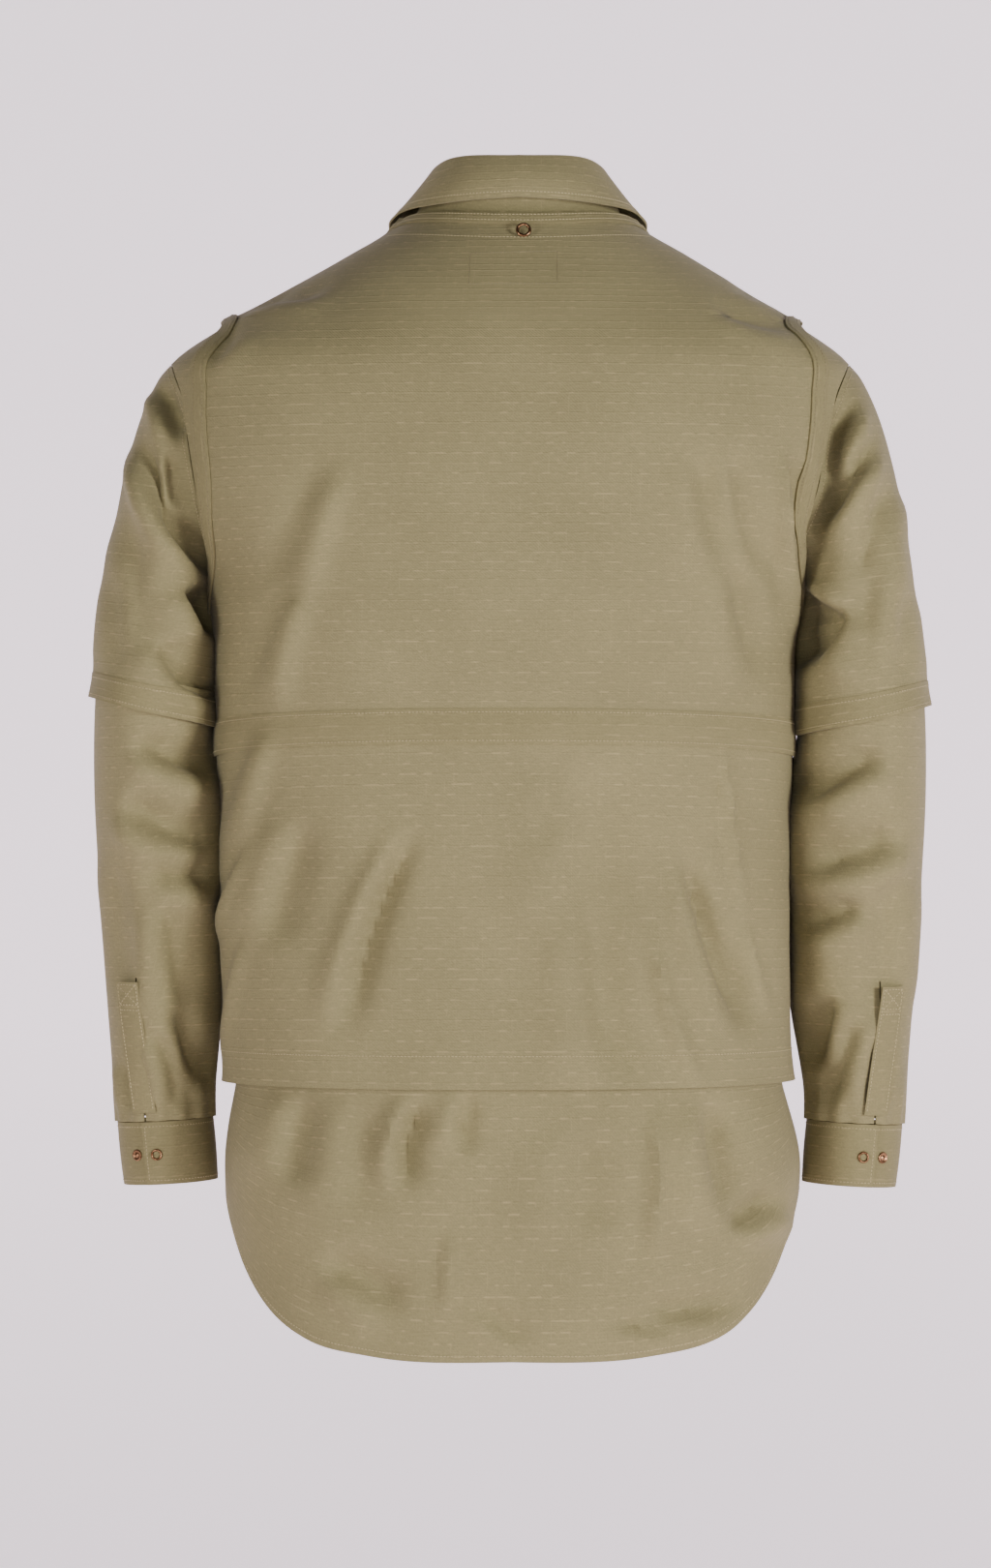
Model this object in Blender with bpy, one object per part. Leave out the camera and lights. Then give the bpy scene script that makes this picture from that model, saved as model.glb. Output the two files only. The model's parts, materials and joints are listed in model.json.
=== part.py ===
"""Shirt jacket in two layers: a sleeveless vest over a long shirt with a curved tail.

The garment is empty and keeps its worn form. Metres, +Z up, the front faces -Y, the wearer's left is +X.
The origin lies between the shoulders, level with the points where the neck meets the shoulder seams.

Every body panel is a thin wall on one smooth body form. A place on that form is an angle and a height:
0 degrees is the wearer's left side, 90 the centre back, 180 the right side and -90 the centre front.
The vest and all that lies on a panel is the same form moved out.
"""

import bmesh
import bpy
import numpy as np

# Cloth
CLOTH = 0.0012
DOUBLED = 0.0016
SEAM = 0.0003
LAID_ON = 0.0006

# The body form, outer face of the shirt, as level sections. Depths run from BODY_Y to the back and the front.
BODY_Y = -0.008
SECTION_COLUMNS = ("height", "centre", "half_width", "back", "front", "power")
SECTIONS = (
    (0.030, -0.006, 0.0700, 0.062, 0.060, 2.00),
    (0.006, -0.006, 0.0775, 0.066, 0.061, 2.00),
    (-0.020, -0.005, 0.1190, 0.084, 0.059, 2.00),
    (-0.045, -0.003, 0.1635, 0.101, 0.061, 2.05),
    (-0.070, -0.001, 0.2080, 0.114, 0.068, 2.10),
    (-0.093, 0.000, 0.2385, 0.121, 0.078, 2.20),
    (-0.120, 0.001, 0.2435, 0.127, 0.092, 2.30),
    (-0.160, 0.002, 0.2400, 0.132, 0.108, 2.35),
    (-0.200, 0.003, 0.2260, 0.134, 0.118, 2.35),
    (-0.235, 0.003, 0.2060, 0.134, 0.123, 2.35),
    (-0.270, 0.004, 0.1985, 0.133, 0.125, 2.40),
    (-0.340, 0.004, 0.1950, 0.127, 0.121, 2.40),
    (-0.420, 0.004, 0.1925, 0.122, 0.117, 2.40),
    (-0.520, 0.003, 0.1905, 0.122, 0.116, 2.40),
    (-0.590, 0.001, 0.1910, 0.125, 0.117, 2.40),
    (-0.650, -0.002, 0.2020, 0.128, 0.119, 2.40),
    (-0.720, 0.000, 0.1965, 0.126, 0.119, 2.40),
    (-0.800, 0.000, 0.1920, 0.124, 0.118, 2.40),
)

# How far the vest's outer face stands off the shirt's, and what its fronts add over the shirt's placket
VEST_EASE = (
    (0.030, 0.0034),
    (-0.010, 0.0034),
    (-0.040, 0.0029),
    (-0.070, 0.0029),
    (-0.093, 0.0046),
    (-0.120, 0.0042),
    (-0.160, 0.0044),
    (-0.200, 0.0050),
    (-0.235, 0.0072),
    (-0.270, 0.0080),
    (-0.450, 0.0090),
    (-0.800, 0.0090),
)
VEST_CLEAR = 0.0014
VEST_FRONT_EASE = 0.0035
VEST_FRONT_REACH = 0.100

# Neck, as angle from the centre back round to the centre front, and height
SHIRT_NECK = ((90, 0.0060), (0, 0.0040), (-51, -0.0200), (-72, -0.0500), (-82, -0.0690), (-90, -0.0750))
VEST_NECK = ((90, 0.0060), (0, 0.0040), (-46, -0.0200), (-66, -0.0500), (-76, -0.0800), (-90, -0.1150))
NECK_BINDING_WIDTH = 0.009
BINDING_OFF = 0.0020
BINDING_END = 69.0

# Armholes: top and bottom height on the side of the form, depth to the back and the front, and how full the
# upper and the lower half of the back edge are (1 is an ellipse, less is squarer, more is narrower)
SHIRT_ARMHOLE = {"top": -0.093, "bottom": -0.235, "back": 0.065, "front": 0.062, "upper": 0.65, "lower": 1.0}
VEST_ARMHOLE = {"top": -0.066, "bottom": -0.262, "back": 0.0735, "front": 0.071, "upper": 0.54, "lower": 1.5}
ARMHOLE_STEPS = 10
BINDING_WIDTH = 0.008
BINDING_WIDTH_ON_SHOULDER = 0.004

# Fronts: the left one laps over the right
LAP = 0.015
LAP_LIFT = CLOTH + LAID_ON + 0.0002
LAP_EASING = 0.075

# How finely the panels are divided
SHIRT_BACK_COLUMNS = 21
VEST_BACK_COLUMNS = 25
FRONT_COLUMNS = 11
FRONT_NECK_ROWS = 5
BACK_TAIL_ROWS = 7
FRONT_TAIL_ROWS = 5
PLACKET_ROWS = 20
VEST_SKIRT_ROWS = 8

# Waist casing and hems of the vest
CASING_TOP = -0.3355
CASING_HEIGHT = 0.0245
CASING_DROOP = 0.009
VEST_HEM = -0.596

# Shirt tail: height of the hem against the length round the form from the side seam
BACK_HEM = ((0.0, -0.672), (0.030, -0.693), (0.055, -0.722), (0.085, -0.751), (0.120, -0.770),
            (0.165, -0.779), (0.300, -0.782))
FRONT_HEM = ((0.0, -0.672), (0.030, -0.686), (0.060, -0.706), (0.100, -0.726), (0.150, -0.738),
             (0.300, -0.742))

# Collar, as angle and height on the form and the distance off it
LEAF_EDGE = ((90, 0.0173, 0.0100), (45, 0.0125, 0.0110), (0, 0.0022, 0.0110), (-42, -0.0200, 0.0120),
             (-68, -0.0650, 0.0120), (-79, -0.1000, 0.0130))
FOLD_LINE = {"half_width": 0.0640, "back": 0.0590, "front": 0.0640, "end_angle": -82}
FOLD_HEIGHT = ((90, 0.0487), (35, 0.0470), (0, 0.0340), (-40, 0.0060), (-82, -0.0400))
STAND_BELOW_FOLD = 0.0026
STAND_TUCK = 0.0010
STAND_INSIDE = 0.0032
NECK_CENTRE = -0.006

# Sleeves: the outer and the inner point of each ring, its depth to the back and the front, and its middle
SLEEVE_COLUMNS = ("outer_x", "outer_z", "inner_x", "inner_z", "back", "front", "middle_y", "power")
UPPER_SLEEVE = (
    (0.2480, -0.1045, 0.2140, -0.2465, 0.0640, 0.0660, -0.0080, 2.0),
    (0.2600, -0.1310, 0.2160, -0.2600, 0.0690, 0.0700, -0.0085, 2.0),
    (0.2690, -0.1640, 0.2165, -0.2710, 0.0730, 0.0730, -0.0090, 2.1),
    (0.2770, -0.2050, 0.2150, -0.2840, 0.0760, 0.0760, -0.0100, 2.1),
    (0.2850, -0.2560, 0.2155, -0.3020, 0.0775, 0.0775, -0.0110, 2.2),
    (0.2920, -0.3040, 0.2155, -0.3240, 0.0780, 0.0780, -0.0120, 2.2),
    (0.2950, -0.3260, 0.2155, -0.3480, 0.0785, 0.0785, -0.0125, 2.2),
)
BAND_HEIGHT = 0.019
BAND_FLARE = 0.0016
LOWER_SLEEVE = (
    (0.2915, -0.3260, 0.2185, -0.3480, 0.0735, 0.0735, -0.0125, 2.2),
    (0.2925, -0.3600, 0.2145, -0.3740, 0.0710, 0.0710, -0.0140, 2.2),
    (0.2925, -0.4000, 0.2110, -0.4080, 0.0690, 0.0690, -0.0170, 2.2),
    (0.2910, -0.4400, 0.2090, -0.4440, 0.0660, 0.0660, -0.0200, 2.2),
    (0.2890, -0.4800, 0.2085, -0.4820, 0.0620, 0.0620, -0.0230, 2.1),
    (0.2865, -0.5200, 0.2085, -0.5210, 0.0575, 0.0575, -0.0260, 2.1),
    (0.2845, -0.5560, 0.2085, -0.5560, 0.0530, 0.0530, -0.0280, 2.1),
    (0.2825, -0.5920, 0.2085, -0.5920, 0.0480, 0.0480, -0.0300, 2.0),
    (0.2805, -0.6260, 0.2085, -0.6220, 0.0420, 0.0420, -0.0310, 2.0),
)
SLEEVE_COLUMN_COUNT = 2 * ARMHOLE_STEPS
RIGHT_SLEEVE_DROP = 0.006

# Cuffs: a strip that laps over itself on the back
CUFF_TOP = -0.6245
CUFF_HEIGHT = 0.044
CUFF_SLOPE = 0.004
CUFF_HALF_WIDTH = 0.0352
CUFF_HALF_DEPTH = 0.0375
CUFF_CENTRE = (0.2445, -0.0310)
CUFF_LAP_ANGLE = 66
CUFF_LAP = 30

# Slit and placket of the lower sleeve, as angles round the sleeve from its outer side to its back
SLIT_ANGLE = 70
SLIT_HALF_ANGLE = 1.2
SLIT_FIRST_ROW = 6
PLACKET_ANGLE = 60
PLACKET_TURN = 12
PLACKET_HALF_ANGLE = 13

# Snaps: radius and height of the ring and the socket, and their places
RING_RADIUS = 0.0054
SMALL_RING_RADIUS = 0.0041
RING_HEIGHT = 0.0016
SNAP_SIDES = 12
SNAP_PITCH = 0.105
VEST_SNAPS = 5
SHIRT_SNAPS = 2
NECK_SNAP = (-0.009, -0.010)
SHIRT_SNAP_TOP = -0.628
SHIRT_SNAP_PITCH = 0.070
CUFF_SNAP_ANGLE = 81
CUFF_SOCKET_ANGLE = 54

# Largest folds: start and end as x and z, how far the middle bows to the left, width and depth
FOLD_COLUMNS = ("start_x", "start_z", "end_x", "end_z", "bow", "width", "depth")
VEST_FOLDS = (
    (0.110, -0.170, 0.160, -0.335, 0.006, 0.020, 0.0055),
    (0.158, -0.370, 0.170, -0.450, 0.000, 0.018, 0.0045),
    (0.065, -0.420, 0.112, -0.560, 0.006, 0.018, 0.0060),
    (0.115, -0.380, 0.150, -0.480, 0.000, 0.020, 0.0045),
    (-0.055, -0.370, -0.080, -0.560, 0.006, 0.026, 0.0045),
    (-0.118, -0.380, -0.163, -0.560, 0.010, 0.020, 0.0055),
    (-0.115, -0.180, -0.145, -0.215, 0.000, 0.018, 0.0035),
    (-0.190, -0.185, -0.188, -0.300, 0.000, 0.016, 0.0035),
)
TAIL_FOLDS = (
    (0.060, -0.600, 0.070, -0.665, 0.008, 0.016, 0.0060),
    (0.140, -0.625, 0.160, -0.660, 0.000, 0.018, 0.0045),
    (0.130, -0.730, 0.085, -0.755, 0.000, 0.020, 0.0045),
    (-0.105, -0.620, -0.105, -0.710, 0.000, 0.020, 0.0045),
    (-0.145, -0.660, -0.160, -0.695, 0.000, 0.022, 0.0065),
)
SLEEVE_FOLDS = (
    (0.245, -0.110, 0.228, -0.145, 0.000, 0.010, 0.0030),
    (0.253, -0.150, 0.215, -0.235, 0.004, 0.011, 0.0050),
    (0.225, -0.250, 0.213, -0.282, 0.000, 0.014, 0.0040),
    (0.250, -0.380, 0.214, -0.405, 0.000, 0.016, 0.0040),
    (0.240, -0.540, 0.214, -0.590, 0.000, 0.014, 0.0030),
)

OLIVE = (0.145, 0.125, 0.080, 1.0)
OLIVE_SHADE = (0.115, 0.098, 0.062, 1.0)
BRASS = (0.420, 0.270, 0.130, 1.0)


def clear_scene():
    """Removes whatever the file holds."""
    for thing in list(bpy.data.objects):
        bpy.data.objects.remove(thing, do_unlink=True)


def material(name, colour, roughness, metallic=0.0):
    """A plain finish with one colour."""
    finish = bpy.data.materials.new(name)
    finish.use_nodes = True
    shader = finish.node_tree.nodes["Principled BSDF"]
    shader.inputs["Base Color"].default_value = colour
    shader.inputs["Roughness"].default_value = roughness
    shader.inputs["Metallic"].default_value = metallic
    return finish


def smooth(low, high, value):
    """A soft step from 0 at low to 1 at high."""
    share = np.clip((np.asarray(value, float) - low) / (high - low), 0.0, 1.0)
    return share * share * (3.0 - 2.0 * share)


def through(places, values, at):
    """A smooth curve through the values, with its slope at each place taken from the neighbours."""
    places = np.asarray(places, float)
    values = np.asarray(values, float)
    order = np.argsort(places)
    places = places[order]
    values = values[order]
    slopes = np.gradient(values, places)
    at = np.clip(np.asarray(at, float), places[0], places[-1])
    cell = np.clip(np.searchsorted(places, at) - 1, 0, len(places) - 2)
    span = places[cell + 1] - places[cell]
    s = (at - places[cell]) / span
    start = values[cell] * (1 + 2 * s) * (1 - s) ** 2 + slopes[cell] * span * s * (1 - s) ** 2
    end = values[cell + 1] * s * s * (3 - 2 * s) + slopes[cell + 1] * span * s * s * (s - 1)
    return start + end


def table_column(rows, columns, name):
    """One named column of a table."""
    return np.array([row[columns.index(name)] for row in rows])


def section(height):
    """The level section of the body form at a height: centre, half width, back, front and power."""
    heights = table_column(SECTIONS, SECTION_COLUMNS, "height")
    names = SECTION_COLUMNS[1:]
    return [through(heights, table_column(SECTIONS, SECTION_COLUMNS, name), height) for name in names]


def form_point(angle, height):
    """The point of the form at an angle in degrees and a height: a superellipse in each section."""
    angle, height = np.broadcast_arrays(np.radians(angle), np.asarray(height, float))
    centre, half_width, back, front, power = section(height)
    cosine = np.cos(angle)
    sine = np.sin(angle)
    depth = np.where(sine >= 0, back, front)
    x = centre + half_width * np.sign(cosine) * np.abs(cosine) ** (2 / power)
    y = BODY_Y + depth * np.sign(sine) * np.abs(sine) ** (2 / power)
    return np.stack([x, y, height], axis=-1)


def form_level(points):
    """How far points are outside the form, as the superellipse's own sum of powers."""
    centre, half_width, back, front, power = section(points[..., 2])
    depth = np.where(points[..., 1] >= BODY_Y, back, front)
    across = np.abs((points[..., 0] - centre) / half_width) ** power
    along = np.abs((points[..., 1] - BODY_Y) / depth) ** power
    return across + along


def form_normal(points):
    """The outward direction of the form: the slope of form_level along each axis."""
    step = 0.0005
    slope = np.zeros_like(points)
    for axis in range(3):
        shift = np.zeros(3)
        shift[axis] = step
        slope[..., axis] = form_level(points + shift) - form_level(points - shift)
    return slope / np.linalg.norm(slope, axis=-1, keepdims=True)


def vest_ease(points):
    """The distance of the vest's outer face from the shirt's."""
    heights, eases = zip(*VEST_EASE)
    ease = through(heights, eases, points[..., 2])
    near_front = smooth(VEST_FRONT_REACH, 0.5 * VEST_FRONT_REACH, np.abs(points[..., 0]))
    near_front = near_front * (points[..., 1] < 0) * smooth(-0.270, -0.200, points[..., 2])
    return ease + VEST_FRONT_EASE * near_front


def fold_depth(points, folds):
    """The depth of the folds at each point, by its distance from each bowed line in the view from behind."""
    flat = points[..., [0, 2]]
    total = np.zeros(flat.shape[:-1])
    along = np.linspace(0.0, 1.0, 15)
    for row in folds:
        size = dict(zip(FOLD_COLUMNS, row))
        start = np.array([size["start_x"], size["start_z"]])
        end = np.array([size["end_x"], size["end_z"]])
        run = end - start
        sideways = np.array([-run[1], run[0]]) / np.linalg.norm(run)
        line = start + along[:, None] * run + np.sin(np.pi * along)[:, None] * size["bow"] * sideways
        distance = np.linalg.norm(flat[..., None, :] - line, axis=-1)
        nearest = along[np.argmin(distance, axis=-1)]
        fade = smooth(0.0, 0.25, nearest) * smooth(1.0, 0.75, nearest)
        across = distance.min(axis=-1) / size["width"]
        total = total + size["depth"] * (0.25 + 0.75 * fade) * np.exp(-(across**2))
    return total


def even_row(start, end, count):
    """Points of the form on the straight line in angle and height from start to end, at equal lengths."""
    share = np.linspace(0.0, 1.0, 161)
    angle = start[0] + (end[0] - start[0]) * share
    height = start[1] + (end[1] - start[1]) * share
    points = form_point(angle, height)
    length = np.concatenate([[0.0], np.cumsum(np.linalg.norm(np.diff(points, axis=0), axis=1))])
    wanted = np.linspace(0.0, length[-1], count)
    return np.interp(wanted, length, angle), np.interp(wanted, length, height)


def wall_mesh(name, outer, inner, finish, closed=False, missing=()):
    """A thin wall between two grids of points, with a rim round every open edge.

    closed joins the last column to the first. missing holds the (row, column) cells that are left out.
    """
    rows, columns = outer.shape[:2]
    spans = columns if closed else columns - 1
    count = rows * columns
    points = np.concatenate([outer.reshape(-1, 3), inner.reshape(-1, 3)])
    faces = []
    edges = {}
    for row in range(rows - 1):
        for column in range(spans):
            if (row, column) in missing:
                continue
            after = (column + 1) % columns
            loop = (row * columns + column, (row + 1) * columns + column,
                    (row + 1) * columns + after, row * columns + after)
            faces.append(loop)
            faces.append(tuple(index + count for index in reversed(loop)))
            for first, second in zip(loop, loop[1:] + loop[:1]):
                edges[(first, second)] = True
    for first, second in edges:
        if (second, first) not in edges:
            faces.append((second, first, first + count, second + count))
    mesh = bpy.data.meshes.new(name)
    mesh.from_pydata([tuple(point) for point in points], [], faces)
    mesh.update()
    return add_piece(name, mesh, finish)


def add_piece(name, mesh, finish):
    """Puts a mesh into the scene under its name, turned right side out and with its finish."""
    work = bmesh.new()
    work.from_mesh(mesh)
    bmesh.ops.remove_doubles(work, verts=work.verts, dist=1e-6)
    loose = [point for point in work.verts if not point.link_faces]
    bmesh.ops.delete(work, geom=loose, context="VERTS")
    bmesh.ops.triangulate(work, faces=work.faces)
    bmesh.ops.recalc_face_normals(work, faces=work.faces)
    work.to_mesh(mesh)
    work.free()
    mesh.shade_smooth()
    mesh.set_sharp_from_angle(angle=np.radians(40))
    mesh.materials.append(finish)
    piece = bpy.data.objects.new(name, mesh)
    bpy.context.collection.objects.link(piece)
    return piece


def neck_height(table, angle):
    """The height of the neck edge at an angle, the same on both sides."""
    angle = np.asarray(angle, float)
    folded = np.where(angle > 90, 180 - angle, angle)
    angles, heights = zip(*table)
    return through(angles, heights, folded)


def armhole_place(shape, turn, side=1, wider=0.0, higher=0.0):
    """Angle and height of an armhole's edge: a rounded shape seen from the side, laid on the form.

    turn runs from the shoulder over the back to the underarm and up the front again.
    """
    middle = (shape["top"] + shape["bottom"]) / 2
    half = (shape["top"] - shape["bottom"]) / 2
    height = middle + (half + np.where(np.cos(turn) > 0, higher, wider)) * np.cos(turn)
    depth = np.where(np.sin(turn) >= 0, shape["back"], shape["front"]) + wider
    _, _, back, front, power = section(height)
    fullness = np.where(np.cos(turn) > 0, shape["upper"], shape["lower"])
    fullness = np.where(np.sin(turn) >= 0, fullness, 1.0)
    reach = depth * np.abs(np.sin(turn)) ** fullness / np.where(np.sin(turn) >= 0, back, front)
    angle = np.degrees(np.arcsin(np.clip(reach, 0, 1) ** (power / 2))) * np.sign(np.sin(turn))
    if side < 0:
        angle = 180 - angle
    return angle, height


def lap_angle(height):
    """The angle on the front at which the left front ends, LAP beyond the centre."""
    centre, half_width, _, _, power = section(height)
    return -90 - np.degrees(np.arcsin(((LAP + centre) / half_width) ** (power / 2)))


def back_rows(neck, armhole, heights):
    """Ends of the rows of a back, from the neck down: along the shoulders, the armholes, the sides."""
    rows = []
    shoulder = np.linspace(neck[1][1], armhole["top"], 6)[1:-1]
    for height in shoulder:
        rows.append(((180.0, height), (0.0, height)))
    for step in range(ARMHOLE_STEPS + 1):
        turn = np.pi * step / ARMHOLE_STEPS
        right = armhole_place(armhole, turn, -1)
        left = armhole_place(armhole, turn, 1)
        rows.append((right, left))
    for height in heights:
        rows.append(((180.0, height), (0.0, height)))
    return rows


def panel_points(rows, columns):
    """Points of the form for rows of paired ends, with their angles and heights."""
    places = [even_row((float(start[0]), float(start[1])), (float(end[0]), float(end[1])), columns)
              for start, end in rows]
    angle = np.array([place[0] for place in places])
    height = np.array([place[1] for place in places])
    return angle, height


def part_edges(points, columns, shift):
    """Draws the named end columns back from the seam, towards the back or the front."""
    for column in columns:
        points[:, column, 1] += shift
    return points


def hem_height(table, angle, side_angle):
    """The height of the tail's hem at an angle, from the length round the form since the side seam."""
    lengths, heights = zip(*table)
    sweep = np.linspace(0.0, 1.0, 61)
    angle = np.asarray(angle, float)
    result = np.empty_like(angle)
    for place, value in np.ndenumerate(angle):
        path = form_point(side_angle + (value - side_angle) * sweep, -0.72)
        length = np.linalg.norm(np.diff(path, axis=0), axis=1).sum()
        result[place] = through(lengths, heights, length)
    return result


def tail_rows(angle, height, count, hem):
    """Adds rows below the last one, evenly down to the hem."""
    start = height[-1]
    for step in range(1, count + 1):
        share = step / count
        height = np.vstack([height, start + (hem - start) * share])
        angle = np.vstack([angle, angle[-1]])
    return angle, height


def raised_wall(name, angle, height, finish, off=0.0, vest=False, folds=(), seam=None, lift=None):
    """A panel's wall: its outer face stands off the shirt's form, or the vest's, and dips in the folds."""
    base = form_point(angle, height)
    normal = form_normal(base)
    distance = np.full(angle.shape, off)
    if vest:
        distance = distance + vest_ease(base)
    if lift is not None:
        distance = distance + lift(base)
    if folds:
        dip = fold_depth(base, folds) * (base[..., 1] > 0)
        if vest:
            dip = np.minimum(dip, vest_ease(base) - CLOTH - VEST_CLEAR)
        distance = distance - dip
    outer = base + normal * distance[..., None]
    inner = outer - normal * CLOTH
    if seam is not None:
        columns, shift = seam
        part_edges(outer, columns, shift)
        part_edges(inner, columns, shift)
    return wall_mesh(name, outer, inner, finish)


def front_lift(points):
    """The left front stands off the right one where it laps over it."""
    return LAP_LIFT * smooth(LAP + LAP_EASING, LAP + 0.030, points[..., 0])


def front_places(neck, armhole, heights):
    """Angles and heights of the left front, from the shoulder seam down and the centre front out."""
    middle = neck[-1][1]
    rows = [((0.0, neck[1][1] - SEAM), (0.0, armhole["top"]))]
    for step in range(1, ARMHOLE_STEPS + 1):
        outer = armhole_place(armhole, 2 * np.pi - np.pi * step / ARMHOLE_STEPS)
        if step < FRONT_NECK_ROWS:
            angle = -90 * (step / FRONT_NECK_ROWS) ** 0.6
            inner = (angle, neck_height(neck, angle))
        else:
            share = (step - FRONT_NECK_ROWS) / (ARMHOLE_STEPS - FRONT_NECK_ROWS)
            height = middle + (armhole["bottom"] - middle) * share
            inner = (lap_angle(height), height)
        rows.append((inner, outer))
    for height in heights:
        rows.append(((lap_angle(height), height), (0.0, height)))
    return panel_points(rows, FRONT_COLUMNS)


def make_shirt_body(cloth):
    """The shirt's back with its long tail, the two fronts and the placket on the left one."""
    heights = (-0.265, -0.330, -0.400, -0.470, -0.540, -0.590)
    columns = SHIRT_BACK_COLUMNS
    angle, height = panel_points(back_rows(SHIRT_NECK, SHIRT_ARMHOLE, heights), columns)
    neck_angle, _ = even_row((180.0, 0.004), (0.0, 0.004), columns)
    angle = np.vstack([neck_angle, angle])
    height = np.vstack([neck_height(SHIRT_NECK, neck_angle), height])
    half = columns // 2
    right_hem = hem_height(BACK_HEM, angle[-1, :half], 180.0)
    hem = np.concatenate([right_hem, hem_height(BACK_HEM, angle[-1, half:], 0.0)])
    angle, height = tail_rows(angle, height, BACK_TAIL_ROWS, hem)
    raised_wall("shirt_back", angle, height, cloth, folds=TAIL_FOLDS, seam=((0, -1), SEAM))

    angle, height = front_places(SHIRT_NECK, SHIRT_ARMHOLE, heights)
    hem = hem_height(FRONT_HEM, angle[-1], 0.0)
    angle, height = tail_rows(angle, height, FRONT_TAIL_ROWS, hem)
    raised_wall("shirt_front_left", angle, height, cloth, seam=((-1,), -SEAM), lift=front_lift)
    raised_wall("shirt_front_right", -180 - angle, height, cloth, seam=((-1,), -SEAM))

    ends = []
    for height in np.linspace(SHIRT_NECK[-1][1] - 0.002, FRONT_HEM[-1][1] + 0.002, PLACKET_ROWS):
        ends.append(((lap_angle(height), height), (-180 - lap_angle(height), height)))
    angle, height = panel_points(ends, 4)
    raised_wall("shirt_placket", angle, height, cloth, off=LAP_LIFT + LAID_ON + CLOTH)


def make_vest_body(cloth, trim):
    """The vest's back in two panels under its waist casing, the fronts, and the armhole and neck bindings."""
    columns = VEST_BACK_COLUMNS
    casing_middle = CASING_TOP - CASING_HEIGHT / 2
    upper = (-0.285, -0.315)
    angle, height = panel_points(back_rows(VEST_NECK, VEST_ARMHOLE, upper), columns)
    neck_angle, _ = even_row((180.0, 0.004), (0.0, 0.004), columns)
    droop = CASING_DROOP * (1 - np.sin(np.radians(angle[-1])))
    last = casing_middle - droop
    angle = np.vstack([neck_angle, angle, angle[-1]])
    height = np.vstack([neck_height(VEST_NECK, neck_angle), height, last])
    raised_wall("vest_back_upper", angle, height, cloth, vest=True, folds=VEST_FOLDS, seam=((0, -1), SEAM))

    rows = [last - SEAM * 2]
    for step in range(1, VEST_SKIRT_ROWS + 1):
        rows.append(last + (VEST_HEM - last) * step / VEST_SKIRT_ROWS)
    height = np.array(rows)
    angle = np.tile(angle[-1], (len(rows), 1))
    raised_wall("vest_back_lower", angle, height, cloth, vest=True, folds=VEST_FOLDS, seam=((0, -1), SEAM))

    top = CASING_TOP - droop
    height = np.array([top, top - CASING_HEIGHT / 2, top - CASING_HEIGHT])
    angle = np.tile(angle[-1], (3, 1))
    raised_wall("vest_waist_casing", angle, height, trim, off=LAID_ON + CLOTH, vest=True, folds=VEST_FOLDS,
                seam=((0, -1), SEAM))

    heights = tuple(np.linspace(-0.300, VEST_HEM, 9))
    angle, height = front_places(VEST_NECK, VEST_ARMHOLE, heights)
    raised_wall("vest_front_left", angle, height, cloth, vest=True, seam=((-1,), -SEAM), lift=front_lift)
    raised_wall("vest_front_right", -180 - angle, height, cloth, vest=True, seam=((-1,), -SEAM))

    turn = np.linspace(0.0, 2 * np.pi, 2 * ARMHOLE_STEPS + 1)[:-1]
    for side, word in ((1, "left"), (-1, "right")):
        rings = [armhole_place(VEST_ARMHOLE, turn, side),
                 armhole_place(VEST_ARMHOLE, turn, side, BINDING_WIDTH, BINDING_WIDTH_ON_SHOULDER)]
        base = form_point(np.array([ring[0] for ring in rings]), np.array([ring[1] for ring in rings]))
        normal = form_normal(base)
        outer = base + normal * (vest_ease(base) + BINDING_OFF + CLOTH)[..., None]
        wall_mesh("vest_armhole_" + word, outer, outer - normal * CLOTH, trim, closed=True)

    angle = np.linspace(-BINDING_END, 180.0 + BINDING_END, 41)
    edge = neck_height(VEST_NECK, angle) - 0.0004
    step = np.linalg.norm(form_point(angle, edge) - form_point(angle, edge - 0.001), axis=-1) / 0.001
    height = np.array([edge, edge - NECK_BINDING_WIDTH / step])
    raised_wall("vest_neck_binding", np.array([angle, angle]), height, trim, off=BINDING_OFF + CLOTH,
                vest=True)


def fold_point(angle):
    """The line along which the collar folds: an ellipse round the neck that falls to the front."""
    radians = np.radians(angle)
    depth = np.where(np.sin(radians) > 0, FOLD_LINE["back"], FOLD_LINE["front"])
    angles, heights = zip(*FOLD_HEIGHT)
    folded = np.where(np.asarray(angle) > 90, 180 - np.asarray(angle), angle)
    x = NECK_CENTRE + FOLD_LINE["half_width"] * np.cos(radians)
    y = BODY_Y + depth * np.sin(radians)
    return np.stack([x, y, through(angles, heights, folded)], axis=-1)


def towards_neck(points):
    """The level direction from each point to the middle of the neck."""
    inwards = np.array([NECK_CENTRE, BODY_Y, 0.0]) - points
    inwards[..., 2] = 0.0
    return inwards / np.linalg.norm(inwards, axis=-1, keepdims=True)


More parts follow.
